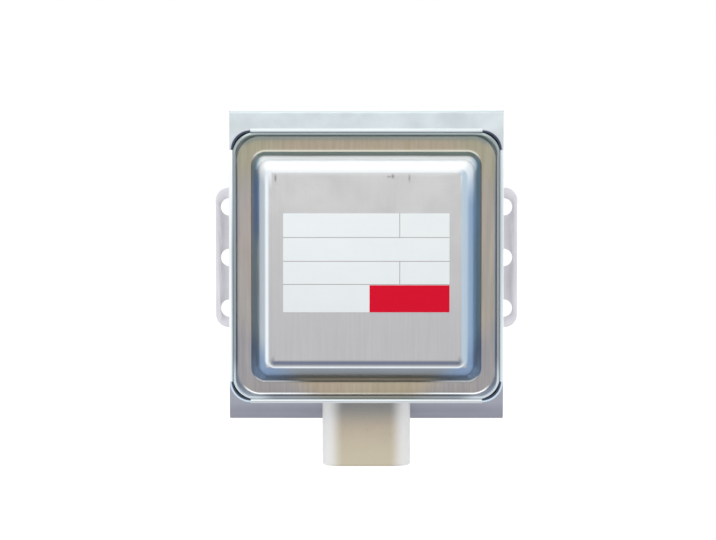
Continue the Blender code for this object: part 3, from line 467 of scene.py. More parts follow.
def combine_rods(piece, rods, operation):
    """Joins rods, each (radius, start, end), to a piece by UNION, or bores them out by DIFFERENCE."""
    for radius, start, end in rods:
        bpy.ops.object.select_all(action="DESELECT")
        start, end = Vector(start), Vector(end)
        bpy.ops.mesh.primitive_cylinder_add(vertices=ROUND // 2, radius=radius, depth=(end - start).length)
        rod = bpy.context.object
        rod.rotation_euler = (end - start).to_track_quat("Z", "Y").to_euler()
        rod.location = (start + end) / 2
        bpy.context.view_layer.objects.active = piece
        apply_modifier("BOOLEAN", object=rod, operation=operation, solver="EXACT")
        bpy.data.objects.remove(rod)
    bpy.ops.object.select_all(action="DESELECT")
    piece.select_set(True)
    bpy.context.view_layer.objects.active = piece


def four_corners(spacing):
    return [(x * spacing / 2, y * spacing / 2) for x, y in ((1, 1), (-1, 1), (-1, -1), (1, -1))]


box_side = box_high.x - box_low.x
box_rings = [square(box_side, BOX_CORNER, box_low.y), square(box_side, BOX_CORNER, box_low.y + RIM_NOTCH)]
box_rings += bend_rings(box_side, BOX_CORNER, box_high.y - BOX_BEND, BOX_BEND, BOX_BEND_STEPS)
box_piece = press(box_rings, front=1)
straight = box_side / 2 - BOX_CORNER
bpy.ops.object.mode_set(mode="EDIT")
bpy.ops.mesh.select_mode(type="FACE")
pick(lambda p: min(abs(p.x), abs(p.y)) > straight and p.z < box_low.y + RIM_NOTCH, "faces")
bpy.ops.mesh.delete(type="FACE")
bpy.ops.mesh.select_mode(type="VERT")
bpy.ops.object.mode_set(mode="OBJECT")
apply_modifier("SOLIDIFY", thickness=BOX_SHEET, offset=-1.0, use_even_offset=True)
box_floor = box_high.y - BOX_SHEET
holes = [(TUBE_HOLE, (0, 0, box_floor - BOX_SHEET), (0, 0, box_high.y + BOX_SHEET))]
for x, y in four_corners(EYELET_SPACING):
    holes.append((EYELET_RADIUS + GAP, (x, y, box_floor - BOX_SHEET), (x, y, box_high.y + BOX_SHEET)))
combine_rods(box_piece, holes, "DIFFERENCE")
break_edges(BOX_EDGE)
finish_piece("filter_box_drawn", "filter_box")

# %% [markdown]
# ## Yoke
#
# The yoke carries the magnetic field round the outside of the tube. It is one strip of thick steel folded
# twice, so it starts as its base, the two legs are extruded from the ends, and the folds are bevelled
# round. Each leg ends in two tabs that are staked through notches in the mounting plate. Four short
# eyelets drawn up from the base pass through the floor of the filter box and hold it.

# %% Yoke
YOKE_SHEET = 1.6 * MM
YOKE_BEND = 2.2 * MM
THICK_EDGE = 0.2 * MM
PLATE_SHEET = 1.6 * MM
TAB_WIDTH = 12.0 * MM
TAB_SPACING = 44.0 * MM
EYELET_BORE = 1.4 * MM
EYELET_RISE = 0.8 * MM

yoke_low, yoke_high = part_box("yoke_frame")
plate_low, plate_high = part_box("mounting_plate")
yoke_wide = yoke_high.x - yoke_low.x
yoke_tall = yoke_high.z - yoke_low.z
yoke_back = box_high.y + GAP
leg_end = plate_low.y - GAP


def score(axis, levels, test=lambda place: True):
    """In edit mode, cuts straight lines across the picked faces at levels along an axis."""
    normal = [0.0, 0.0, 0.0]
    normal[axis] = 1.0
    for level in levels:
        pick(test, "faces")
        where = [0.0, 0.0, 0.0]
        where[axis] = level
        bpy.ops.mesh.bisect(plane_co=where, plane_no=normal, threshold=TINY)


def blank(width, height, level):
    """Starts an object in edit mode with one flat rectangle of sheet."""
    nothing_selected()
    bpy.ops.object.add(type="MESH")
    bpy.ops.object.mode_set(mode="EDIT")
    bpy.ops.mesh.primitive_plane_add(size=1.0, location=(0.0, 0.0, level))
    bpy.ops.transform.resize(value=(width, height, 1.0), center_override=(0.0, 0.0, level))
    return bpy.context.object


def on_legs(place):
    return abs(place.y) > yoke_tall / 2 - TINY


yoke_piece = blank(yoke_wide, yoke_tall, yoke_back)
bpy.ops.mesh.select_mode(type="EDGE")
pick(on_legs, "edges")
bpy.ops.mesh.extrude_edges_move(TRANSFORM_OT_translate={"value": (0.0, 0.0, yoke_high.y - yoke_back)})
tab_inner = (TAB_SPACING - TAB_WIDTH) / 2
tab_outer = (TAB_SPACING + TAB_WIDTH) / 2
bpy.ops.mesh.select_mode(type="FACE")
score(2, [leg_end], on_legs)
score(0, [-tab_outer, -tab_inner, tab_inner, tab_outer], lambda p: on_legs(p) and p.z > leg_end)
pick(lambda p: p.z > leg_end + TINY and not tab_inner < abs(p.x) < tab_outer, "faces")
bpy.ops.mesh.delete(type="FACE")
bpy.ops.mesh.select_mode(type="EDGE")
pick(lambda p: on_legs(p) and abs(p.z - yoke_back) < TINY, "edges")
bpy.ops.mesh.bevel(offset=YOKE_BEND, segments=12, affect="EDGES")
bpy.ops.mesh.select_mode(type="VERT")
bpy.ops.object.mode_set(mode="OBJECT")
recalculate_normals()
face_the_floor(yoke_back, -1)
apply_modifier("SOLIDIFY", thickness=YOKE_SHEET, offset=-1.0, use_even_offset=True)
bores = [(TUBE_HOLE, (0, 0, yoke_back - YOKE_SHEET), (0, 0, yoke_back + 2 * YOKE_SHEET))]
eyelets = []
for x, y in four_corners(EYELET_SPACING):
    eyelets.append((EYELET_RADIUS, (x, y, yoke_back + YOKE_SHEET / 2), (x, y, box_floor - EYELET_RISE)))
    bores.append((EYELET_BORE, (x, y, box_floor - 2 * EYELET_RISE), (x, y, yoke_back + 2 * YOKE_SHEET)))
combine_rods(yoke_piece, eyelets, "UNION")
combine_rods(yoke_piece, bores, "DIFFERENCE")
break_edges(THICK_EDGE, 3)
finish_piece("yoke_folded", "yoke_frame")

# %% [markdown]
# ## Mounting plate
#
# The plate behind everything bolts to the oven's waveguide. Its two ears stand out left and right and
# have three screw holes each. It is cut like a blanking tool would cut it: a full rectangle is scored
# along its steps, the waste falls away, the corners are rounded and the sheet gets its thickness.

# %% Mounting plate
EAR_HEIGHT = 44.0 * MM
EAR_CORNER = 4.0 * MM
PLATE_CORNER = 2.0 * MM
EAR_HOLE_RADIUS = 2.75 * MM
EAR_HOLE_PITCH = 16.0 * MM
EAR_HOLE_MARGIN = 4.25 * MM

plate_wide = plate_high.x - plate_low.x
plate_tall = plate_high.z - plate_low.z
body_edge = yoke_wide / 2
ear_edge = EAR_HEIGHT / 2
notch_floor = plate_tall / 2 - YOKE_SHEET - GAP
notch_inner = tab_inner - GAP
notch_outer = tab_outer + GAP

plate_piece = blank(plate_wide, plate_tall, 0.0)
bpy.ops.mesh.select_mode(type="FACE")
score(0, [-body_edge, -notch_outer, -notch_inner, notch_inner, notch_outer, body_edge])
score(1, [-notch_floor, -ear_edge, ear_edge, notch_floor])
pick(lambda p: abs(p.x) > body_edge and abs(p.y) > ear_edge, "faces")
bpy.ops.mesh.delete(type="FACE")
pick(lambda p: notch_inner < abs(p.x) < notch_outer and abs(p.y) > notch_floor, "faces")
bpy.ops.mesh.delete(type="FACE")
bpy.ops.mesh.select_all(action="SELECT")
bpy.ops.mesh.dissolve_limited(angle_limit=math.radians(1))
bpy.ops.mesh.select_mode(type="VERT")
pick(lambda p: abs(p.x) > plate_wide / 2 - TINY)
bpy.ops.mesh.bevel(offset=EAR_CORNER, segments=10, affect="VERTICES")
pick(lambda p: abs(p.y) > plate_tall / 2 - TINY and abs(p.x) > body_edge - TINY)
bpy.ops.mesh.bevel(offset=PLATE_CORNER, segments=6, affect="VERTICES")
bpy.ops.object.mode_set(mode="OBJECT")
recalculate_normals()
face_the_floor(0.0, 1)
apply_modifier("SOLIDIFY", thickness=PLATE_SHEET, offset=-1.0, use_even_offset=True)
ear_x = plate_wide / 2 - EAR_HOLE_MARGIN
holes = [(TUBE_HOLE, (0, 0, -2 * PLATE_SHEET), (0, 0, PLATE_SHEET))]
for x in (-ear_x, ear_x):
    for row in (-1, 0, 1):
        y = row * EAR_HOLE_PITCH
        holes.append((EAR_HOLE_RADIUS, (x, y, -2 * PLATE_SHEET), (x, y, PLATE_SHEET)))
combine_rods(plate_piece, holes, "DIFFERENCE")
break_edges(THICK_EDGE, 3)
finish_piece("mounting_plate_blanked", "mounting_plate")

# %% [markdown]
# ## Turned and drawn round pieces
#
# Magnets, anode, cups and gasket are all round, so each is a profile spun about the tube's axis. A
# profile is drawn by extruding one corner from point to point. Thick pieces have a closed profile; thin
# drawn ones are a single line that gets its thickness afterwards, which keeps the wall even round every
# bend.

# %% Spinning lathe


def draw(points):
    """Draws a chain of edges by extruding one corner from point to point, and stays in edit mode."""
    nothing_selected()
    bpy.ops.mesh.primitive_plane_add(size=MM)
    bpy.ops.object.mode_set(mode="EDIT")
    bpy.ops.mesh.merge(type="CENTER")
    bpy.ops.transform.translate(value=points[0])
    for start, end in zip(points, points[1:]):
        step = Vector(end) - Vector(start)
        bpy.ops.mesh.extrude_region_move(TRANSFORM_OT_translate={"value": step})


def spin(section, steps=ROUND, sheet=0.0, bend=0.0, edge=0.0):
    """Turns a section of (radius, level) points into a solid, or into a sheet of even thickness."""
    closed = sheet == 0.0
    points = [(radius, 0.0, level) for radius, level in section]
    draw(points + points[:1] if closed else points)
    bpy.ops.mesh.select_all(action="SELECT")
    bpy.ops.mesh.spin(steps=steps, angle=2 * math.pi, center=(0, 0, 0), axis=(0, 0, 1))
    bpy.ops.mesh.select_all(action="SELECT")
    bpy.ops.mesh.remove_doubles(threshold=TINY)
    bpy.ops.object.mode_set(mode="OBJECT")
    recalculate_normals()
    if bend:
        break_edges(bend, 8, steeper_than=20)
    if sheet:
        apply_modifier("SOLIDIFY", thickness=sheet, offset=0.0, use_even_offset=True)
    if edge:
        break_edges(edge, 3)
    return bpy.context.object


def ring(outer, inner, top, bottom, chamfer=0.0):
    """The section of a ring with chamfered outer edges."""
    rim = [(outer, top), (outer, bottom)]
    if chamfer:
        rim = [(outer - chamfer, top), (outer, top - chamfer)]
        rim += [(outer, bottom + chamfer), (outer - chamfer, bottom)]
    return [(inner, top)] + rim + [(inner, bottom)]


# %% [markdown]
# ## Magnets and anode
#
# Two ring magnets of ferrite press on the copper anode from both ends. Ferrite is sintered and ground, so
# it has a small chamfer and sharp ground faces; the anode is a length of tube with a recess at each end.

# %% Magnets and anode
MAGNET_BORE = 11.0 * MM
MAGNET_CHAMFER = 0.8 * MM
ANODE_WALL = 2.5 * MM
ANODE_LIP = 1.2 * MM
RECESS_DEPTH = 2.8 * MM
MAGNET_EDGE = 0.1 * MM
ANODE_EDGE = 0.15 * MM

for name in ("output_magnet", "input_magnet"):
    low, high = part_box(name)
    spin(ring(high.x, MAGNET_BORE, high.y, low.y, MAGNET_CHAMFER), edge=MAGNET_EDGE)
    finish_piece(name + "_ground", name)
low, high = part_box("anode_cylinder")
anode = high.x
lip = anode - ANODE_LIP
bore = anode - ANODE_WALL
anode_section = [(anode, high.y), (anode, low.y), (lip, low.y), (lip, low.y + RECESS_DEPTH)]
anode_section += [(bore, low.y + RECESS_DEPTH), (bore, high.y - RECESS_DEPTH)]
anode_section += [(lip, high.y - RECESS_DEPTH), (lip, high.y)]
spin(anode_section, edge=ANODE_EDGE)
finish_piece("anode_turned", "anode_cylinder")

# %% [markdown]
# ## Output end
#
# On the far side the antenna leaves through a drawn cup, a pink ceramic ring and a steel cap. A ring of
# knitted wire lies round the cup and is squeezed against the waveguide, so that no microwaves leak out.

# %% Output end
CUP_SHEET = 0.6 * MM
CUP_RADIUS = 10.2 * MM
CUP_RISE = 6.0 * MM
CUP_DOME = 2.4 * MM
CUP_BEND = 0.9 * MM
DRAWN_EDGE = 0.08 * MM
CERAMIC_RADIUS = 7.6 * MM
CERAMIC_BORE = 5.2 * MM
CERAMIC_CHAMFER = 0.25 * MM
CERAMIC_EDGE = 0.1 * MM
CAP_SHEET = 0.5 * MM
CAP_CORNER = 1.6 * MM
GASKET_BORE = CUP_RADIUS + GAP
GASKET_ROUNDING = 1.3 * MM

cup_low, cup_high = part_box("output_seal_cup")
neck = CUP_RADIUS - CUP_SHEET / 2
tip = (CERAMIC_RADIUS + CERAMIC_BORE) / 2
cup_line = [(cup_high.x, cup_low.y + CUP_SHEET / 2), (neck, cup_low.y + CUP_SHEET / 2), (neck, CUP_RISE)]
cup_line += [(tip, CUP_RISE + CUP_DOME / 2), (tip, cup_high.y)]
spin(cup_line, sheet=CUP_SHEET, bend=CUP_BEND, edge=DRAWN_EDGE)
finish_piece("output_cup_drawn", "output_seal_cup")

low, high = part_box("antenna_ceramic")
spin(ring(CERAMIC_RADIUS, CERAMIC_BORE, high.y, low.y, CERAMIC_CHAMFER), edge=CERAMIC_EDGE)
finish_piece("antenna_ceramic_ring", "antenna_ceramic")

low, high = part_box("antenna_cap")
wall = high.x - CAP_SHEET / 2
spin([(0.0, high.y - CAP_SHEET / 2), (wall, high.y - CAP_SHEET / 2), (wall, low.y)], sheet=CAP_SHEET,
     bend=CAP_CORNER - CAP_SHEET / 2, edge=DRAWN_EDGE)
finish_piece("antenna_cap_drawn", "antenna_cap")

low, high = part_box("rf_gasket")
spin(ring(high.x, GASKET_BORE, high.y, low.y), steps=2 * ROUND, edge=GASKET_ROUNDING)
apply_modifier("SUBSURF", levels=1, render_levels=1)
finish_piece("rf_gasket_knitted", "rf_gasket", smooth=60)

# %% [markdown]
# ## Cooling fins
#
# Five fins of thin aluminium are pressed onto the anode, each with a drawn collar. They lie close
# together at the anode and fan out towards the yoke's legs, where their ends are turned up. Each one is
# the same sheet bent differently, so one routine folds them all.

# %% Cooling fins
FIN_COUNT = 5
FIN_SHEET = 0.6 * MM
FIN_PITCH = 4.8 * MM
FIN_WALL_PITCH = 8.6 * MM
FIN_FLAT = 29.0 * MM
FIN_FLANGE = 4.5 * MM
FIN_BEND = 1.2 * MM
FIN_EDGE = 0.08 * MM
COLLAR_HEIGHT = 2.0 * MM

anode_low, anode_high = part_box("anode_cylinder")
anode_middle = (anode_low.y + anode_high.y) / 2
fin_bore = anode + GAP


def fold_fin(low, high, level, wall_level):
    """One folded sheet: flat round the anode, slanted to the wall and turned up against it."""
    wall = high.z - FIN_SHEET / 2
    half = [(wall, wall_level + FIN_FLANGE), (wall, wall_level), (FIN_FLAT, level)]
    line = half + [(-y, z) for y, z in reversed(half)]
    draw([(low.x, y, z) for y, z in line])
    bpy.ops.mesh.select_all(action="SELECT")
    bpy.ops.mesh.extrude_edges_move(TRANSFORM_OT_translate={"value": (high.x - low.x, 0.0, 0.0)})
    bpy.ops.mesh.select_mode(type="EDGE")
    pick(lambda p: abs(p.x - (low.x + high.x) / 2) < TINY and abs(p.y) < wall + TINY
         and (abs(abs(p.y) - FIN_FLAT) < TINY or abs(p.z - wall_level) < TINY), "edges")
    bpy.ops.mesh.bevel(offset=FIN_BEND, segments=6, affect="EDGES")
    bpy.ops.mesh.select_mode(type="VERT")
    bpy.ops.object.mode_set(mode="OBJECT")
    recalculate_normals()
    apply_modifier("SOLIDIFY", thickness=FIN_SHEET, offset=0.0, use_even_offset=True)
    return bpy.context.object


def add_collar(fin, level):
    """Joins a short tube to a fin, then bores the fin and the tube together."""
    bpy.ops.object.select_all(action="DESELECT")
    bpy.ops.mesh.primitive_cylinder_add(vertices=ROUND, radius=fin_bore + FIN_SHEET, depth=COLLAR_HEIGHT,
                                        location=(0.0, 0.0, level + COLLAR_HEIGHT / 2))
    collar = bpy.context.object
    bpy.context.view_layer.objects.active = fin
    apply_modifier("BOOLEAN", object=collar, operation="UNION", solver="EXACT")
    collar.location.z = level
    collar.scale = (fin_bore / (fin_bore + FIN_SHEET), fin_bore / (fin_bore + FIN_SHEET), 4.0)
    bpy.context.view_layer.update()
    apply_modifier("BOOLEAN", object=collar, operation="DIFFERENCE", solver="EXACT")
    bpy.data.objects.remove(collar)
    fin.select_set(True)


for index in range(FIN_COUNT):
    rank = index - (FIN_COUNT - 1) / 2
    node = f"cooling_fin_{index + 1}"
    level = anode_middle + rank * FIN_PITCH
    low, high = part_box(node)
    fin = fold_fin(low, high, level, anode_middle + rank * FIN_WALL_PITCH)
    add_collar(fin, level)
    break_edges(FIN_EDGE)
    finish_piece(node + "_folded", node)

# %% [markdown]
# ## Terminal case
#
# Below the box stands the moulded case round the two push-on blades. A moulding has rounded corners, an
# even wall and a soft edge at its mouth, so its outlines run up the outside, over the edge and down the
# inside.

# %% Terminal case
CASE_WALL = 1.3 * MM
CASE_CORNER = 5.0 * MM
CASE_EDGE = 0.8 * MM
CASE_EDGE_STEPS = 8

case_low, case_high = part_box("capacitor_case")
case_wide = case_high.x - case_low.x
case_deep = case_high.y - case_low.y
case_long = case_high.z - case_low.z
case_rings = [(case_wide, case_deep, CASE_CORNER, 0.0)]
for step in range(CASE_EDGE_STEPS + 1):
    angle = math.pi / 2 * step / CASE_EDGE_STEPS
    inset = CASE_EDGE * (1 - math.cos(angle))
    level = case_long - CASE_EDGE * (1 - math.sin(angle))
    case_rings.append((case_wide - 2 * inset, case_deep - 2 * inset, CASE_CORNER - inset, level))
inner_wide = case_wide - 2 * CASE_WALL
inner_deep = case_deep - 2 * CASE_WALL
inner_corner = CASE_CORNER - CASE_WALL
case_rings += [(inner_wide, inner_deep, inner_corner, case_long - CASE_EDGE / 4),
               (inner_wide, inner_deep, inner_corner, 0.0)]
press(case_rings, front=-1, closed=True)
finish_piece("terminal_case_moulded", "capacitor_case", turn=(math.pi, 0.0, 0.0),
             at=(0.0, (case_low.y + case_high.y) / 2, case_high.z))

# %% [markdown]
# ## Label
#
# A white sticker with ruled lines and one red field lies on the plateau. It is a thin sheet whose front
# edge is turned in a little, and the rules are printed by its material.

# %% Label
LABEL_WIDTH = 46.4 * MM
LABEL_HEIGHT = 27.6 * MM
LABEL_CORNER = 0.2 * MM
LABEL_RISE = 1.02 * MM

label_rings = [(LABEL_WIDTH, LABEL_HEIGHT, LABEL_CORNER, cover_top),
               (LABEL_WIDTH, LABEL_HEIGHT, LABEL_CORNER, cover_low.y + LABEL_SHEET / 5),
               (LABEL_WIDTH - LABEL_SHEET, LABEL_HEIGHT - LABEL_SHEET, LABEL_CORNER, cover_low.y)]
press(label_rings, front=-1)
bpy.ops.object.mode_set(mode="EDIT")
bpy.ops.mesh.select_all(action="SELECT")
bpy.ops.mesh.edge_face_add()
bpy.ops.object.mode_set(mode="OBJECT")
label = finish_piece("label_sticker", at=(0.0, 0.0, LABEL_RISE))

# %% [markdown]
# ## Finishes
#
# Every metal here starts from the same recipe: a tone that drifts in soft clouds, a grain drawn out along
# the direction in which the sheet was rolled or the piece was turned, small specks, and a roughness and a
# relief that follow them. Only the numbers differ.

# %% Metal recipe
STRAIGHT_GRAIN = 0.03
METAL_GRAIN = 4200.0
METAL_RELIEF = 0.01 * MM


def shade(colour, factor):
    return tuple(min(1.0, channel * factor) for channel in colour[:3]) + (1.0,)


def metal(name, colour, roughness, metallic=0.85, along=None, spread=0.12):
    """A worn metal; along names the axis of its grain, spread how far its tone drifts."""
    finish = Finish(name, colour, roughness, metallic)
    stretch = tuple(STRAIGHT_GRAIN if axis == along else 1.0 for axis in range(3))
    grain = finish.noise(METAL_GRAIN, 3.0, 0.6, stretch)
    clouds = finish.noise(90.0, 4.0, 0.55).rise(0.32, 0.68)
    specks = finish.noise(2400.0, 2.0).rise(0.66, 0.74)
    tone = finish.blend(clouds, shade(colour, 1 - spread), shade(colour, 1 + spread))
    tone = finish.blend(specks * 0.35, tone, shade(colour, 0.6))
    finish.tone = finish.blend((grain - 0.5) * 0.5 + 0.12, tone, shade(colour, 1 + 2 * spread))
    finish.set("Base Color", finish.tone)
    finish.worn = clouds * 0.10 + grain * 0.16 + (roughness - 0.13)
    finish.set("Roughness", finish.worn)
    finish.relief = grain + specks * 0.5
    finish.bump(finish.relief, METAL_RELIEF)
    print(name, "roughness about", roughness)
    return finish


zinc = metal("zinc_plated_steel", (0.56, 0.57, 0.58), 0.36, along=0)
box_zinc = metal("box_zinc", (0.56, 0.57, 0.58), 0.34, along=1, spread=0.08)
plate_zinc = metal("plate_zinc", (0.71, 0.70, 0.745), 0.42, along=0, spread=0.08)
aluminium = metal("fin_aluminium", (0.78, 0.79, 0.80), 0.30, along=0, spread=0.05)
copper = metal("copper", (0.66, 0.36, 0.24), 0.34, along=None, spread=0.18)
iron = metal("soft_iron", (0.42, 0.42, 0.43), 0.42, spread=0.12)
seal_steel = metal("seal_steel", (0.60, 0.60, 0.61), 0.26, spread=0.08)
tungsten = metal("tungsten", (0.30, 0.30, 0.31), 0.45, spread=0.10)
tin = metal("tinned_brass", (0.72, 0.70, 0.66), 0.28, spread=0.10)
enamel = metal("enamelled_wire", (0.50, 0.20, 0.08), 0.26, 0.55, spread=0.12)

# %% [markdown]
# ## Yoke finish
#
# The zinc on the yoke is pale blue at the top; painted shade turns it to a dull lilac towards the bottom,
# darkest at its foot. The upper fold carries a painted highlight, with a thin line of painted shade below
# it.

# %% Yoke finish
YOKE_LOWER_SHADE = (0.280, 0.290, 0.350, 1.0)
YOKE_FOOT_SHADE = (0.21, 0.21, 0.26, 1.0)
YOKE_FOLD_SHADE_LINE = (0.34, 0.37, 0.38, 1.0)
YOKE_FOLD_HIGHLIGHT = (0.96, 0.97, 0.98, 1.0)

yoke_zinc = metal("yoke_zinc", (0.635, 0.70, 0.725), 0.38, along=0, spread=0.08)
_, y, z = yoke_zinc.axes()
fold_highlight = z.rise(44.5 * MM, 44.9 * MM) * y.rise(yoke_back + 10 * MM, yoke_back + 1.5 * MM)
# Painted shade on the lower yoke and its foot; a painted highlight on the upper fold, shade just below.
yoke_zinc.set("Base Color", yoke_zinc.layered(yoke_zinc.tone, [
    (z.rise(10 * MM, -44 * MM) * 0.9, YOKE_LOWER_SHADE),
    (z.rise(-40.5 * MM, -43.6 * MM) * 0.5, YOKE_FOOT_SHADE),
    (z.near(44.3 * MM, 0.5 * MM) * 0.7, YOKE_FOLD_SHADE_LINE),
    (fold_highlight, YOKE_FOLD_HIGHLIGHT),
]))

# %% [markdown]
# ## Ferrite, ceramic and plastic
#
# The magnets are pressed powder: dark, dull and slightly grainy. The ceramics are fired and unglazed. The
# terminal case is a light moulded plastic with a soft gloss, and resin fills it round the blades.

# %% Powder, fired and moulded finishes


def dull(name, colour, roughness, scale, spread=0.15, relief=0.02, **sockets):
    """A non-metal with a grain of one size and a slow drift of its tone."""
    finish = Finish(name, colour, roughness, 0.0, **sockets)
    grain = finish.noise(scale, 4.0, 0.6)
    drift = finish.noise(110.0, 3.0).rise(0.3, 0.7)
    tone = finish.blend(drift, shade(colour, 1 - spread), shade(colour, 1 + spread))
    finish.tone = finish.blend(grain.rise(0.35, 0.75) * 0.4, tone, shade(colour, 1 + 2 * spread))
    finish.set("Base Color", finish.tone)
    finish.set("Roughness", grain * 0.2 + (roughness - 0.1))
    finish.bump(grain, relief * MM)
    return finish


ferrite = dull("ferrite", (0.055, 0.055, 0.060), 0.62, 3000.0, 0.2, 0.04)
alumina = dull("alumina", (0.80, 0.56, 0.53), 0.50, 5000.0, 0.06, 0.01)
capacitor_ceramic = dull("capacitor_ceramic", (0.28, 0.20, 0.16), 0.55, 4000.0, 0.1)
plastic = dull("terminal_plastic", (0.66, 0.62, 0.54), 0.32, 2500.0, 0.04, 0.008)
epoxy = dull("epoxy", (0.09, 0.09, 0.10), 0.28, 900.0, 0.1, 0.03)

# %% [markdown]
# ## Terminal case finish
#
# The moulded case is beige in the middle of its front, and a painted reflection fades it to white round
# its side corners. A painted shadow greys it under the edge of the box, and painted light makes it
# lighter and warmer towards its mouth.

# %% Terminal case finish
CASE_LOWER_LIGHT = (0.68, 0.62, 0.46, 1.0)
CASE_SHADOW = (0.27, 0.28, 0.29, 1.0)
CASE_SIDE_REFLECTION = (1.0, 1.0, 1.0, 1.0)

case_plastic = dull("case_plastic", (0.56, 0.478, 0.37), 0.30, 2500.0, 0.04, 0.006)
x, _, z = case_plastic.axes()
# Painted light towards the mouth, painted shadow under the box, painted reflection at the sides.
case_plastic.set("Base Color", case_plastic.layered(case_plastic.tone, [
    (z.rise(-44 * MM, -56 * MM) * 0.8, CASE_LOWER_LIGHT),
    (z.rise(-47 * MM, -39 * MM) * 0.85, CASE_SHADOW),
    (abs(x).rise(6.4 * MM, 11.2 * MM), CASE_SIDE_REFLECTION),
]))

# %% [markdown]
# ## Knitted wire
#
# The gasket is knitted from fine wire and pressed to a ring. Round the ring, two sets of waves that lean
# opposite ways cross each other; where either is high a wire lies on top, and painted shade darkens the
# gaps where both are low.

# %% Gasket finish
KNIT_ROUND = 120.0
KNIT_DOWN = 9000.0


def knit(finish, lean):
    x, y, z = finish.axes()
    turn = finish.add("ShaderNodeMath", {"operation": "ARCTAN2"}, [x, z])
    phase = turn * KNIT_ROUND + y * (KNIT_DOWN * lean)
    return phase.maths("SINE", phase) * 0.5 + 0.5


wire_mesh = metal("knitted_wire", (0.66, 0.65, 0.62), 0.34, spread=0.08)
loops = knit(wire_mesh, 1.0).larger(knit(wire_mesh, -1.0))
# Painted shade in the gaps where neither set of wires lies high.
gap_shade = 1 - loops.rise(0.35, 0.75)
wire_mesh.set("Base Color", wire_mesh.blend(gap_shade * 0.85, wire_mesh.tone, (0.06, 0.06, 0.06, 1.0)))
wire_mesh.bump(loops, 0.25 * MM)

# %% [markdown]
# ## Cover finish: where things lie
#
# The pressed cover is not one grey. The riser, the shoulder and every bend carry painted light and
# shade, and the flange keeps a yellowish passivation. What separates these zones is how far a point lies
# from the middle of the plate, measured as a square with rounded corners. The plateau, the riser's foot
# and the lip each have corners of their own, so each gets a distance of its own.

# %% Distances from the middle of the cover
SIDE_BLEND = 1.6 * MM


def square_distance(finish, corner_start, drop=0.0):
    """How far a point lies from the middle, by outlines whose corners curve from corner_start outwards."""
    x, _, z = finish.axes()
    across, up = abs(x), abs(z + drop)
    beyond_x = (across - corner_start).larger(0.0)
    beyond_z = (up - corner_start).larger(0.0)
    diagonal = beyond_x * beyond_x + beyond_z * beyond_z
    return across.larger(up) + diagonal ** 0.5 - beyond_x.larger(beyond_z)


def band(distance, low, high, soft=0.3):
    """1 between two distances in millimetres, with soft ends."""
    begins = distance.rise((low - soft) * MM, (low + soft) * MM)
    return begins * distance.rise((high + soft) * MM, (high - soft) * MM)


def four_sides(finish):
    """Masks for the top, the bottom, the left and the right quarter of the square."""
    x, _, z = finish.axes()
    top = (z - abs(x)).rise(-SIDE_BLEND, SIDE_BLEND)
    bottom = (0.0 - z - abs(x)).rise(-SIDE_BLEND, SIDE_BLEND)
    beside = 1 - top - bottom
    right = beside * (x > 0.0)
    return top, bottom, beside - right, right


cover_finish = metal("cover_zinc", (0.54, 0.54, 0.545), 0.40, 0.85, along=2, spread=0.05)
from_top = square_distance(cover_finish, TOP_SIDE / 2 - TOP_CORNER, TOP_DROP)
from_foot = square_distance(cover_finish, STEP_SIDE / 2 - STEP_CORNER, STEP_DROP)
from_lip = square_distance(cover_finish, lip_side / 2 - LIP_CORNER)
top, bottom, left, right = four_sides(cover_finish)
brushed = cover_finish.noise(1500.0, 3.0, 0.6, (1.0, 1.0, 0.05))
hue_bands = cover_finish.noise(120.0, 2.0, 0.5, (1.0, 1.0, 0.3)).rise(0.35, 0.65)

# %% [markdown]
# ## Cover finish: plateau and flange
#
# Each zone is one layer of colour behind a mask, and its numbers are millimetres from the middle. The
# plateau lies lowest, and painted shade darkens it downwards, with faint streaks of its brushing. The
# flange turns from grey at the sides to tan above and below, with olive and lilac corners.

# %% Plateau and flange
PLATEAU_LOWER_SHADE = (0.43, 0.425, 0.44, 1.0)
PLATEAU_STREAK = (0.636, 0.636, 0.636, 1.0)
FLANGE_GREY = (0.345, 0.322, 0.310, 1.0)
FLANGE_BUFF = (0.335, 0.300, 0.250, 1.0)
FLANGE_TAN = (0.370, 0.312, 0.205, 1.0)
FLANGE_ROSE = (0.42, 0.31, 0.28, 1.0)
FLANGE_LIGHT = (0.58, 0.55, 0.47, 1.0)
OLIVE = (0.335, 0.320, 0.225, 1.0)
LILAC = (0.270, 0.265, 0.300, 1.0)
TOP_BEND_SHADE = (0.20, 0.25, 0.26, 1.0)

x, _, z = cover_finish.axes()
to_upper_corner = abs(x) + z
to_lower_corner = abs(x) - z
upper_corners = to_upper_corner.rise(53 * MM, 66 * MM)
lower_corners = to_lower_corner.rise(47 * MM, 57 * MM)
flange = band(from_lip, 32.0, 36.6)
# Painted shade darkens the plateau towards its bottom.
coat = cover_finish.blend(z.rise(-26 * MM, 22 * MM), PLATEAU_LOWER_SHADE, cover_finish.tone)
coat = cover_finish.layered(coat, [
    ((brushed - 0.5) * 0.4 + 0.1, PLATEAU_STREAK),
    (flange * 0.95, FLANGE_GREY),
    (flange * right * 0.6, FLANGE_BUFF),
    (flange * (top + bottom) * 0.85, FLANGE_TAN),
    (flange * hue_bands * 0.30, FLANGE_ROSE),
    (flange * upper_corners * 0.9, OLIVE),
    (flange * lower_corners * 0.8, LILAC),
    (flange * (brushed - 0.35) * 0.7, FLANGE_LIGHT),
    (band(from_lip, 35.4, 36.6, 0.8) * top * 0.75, TOP_BEND_SHADE),
])
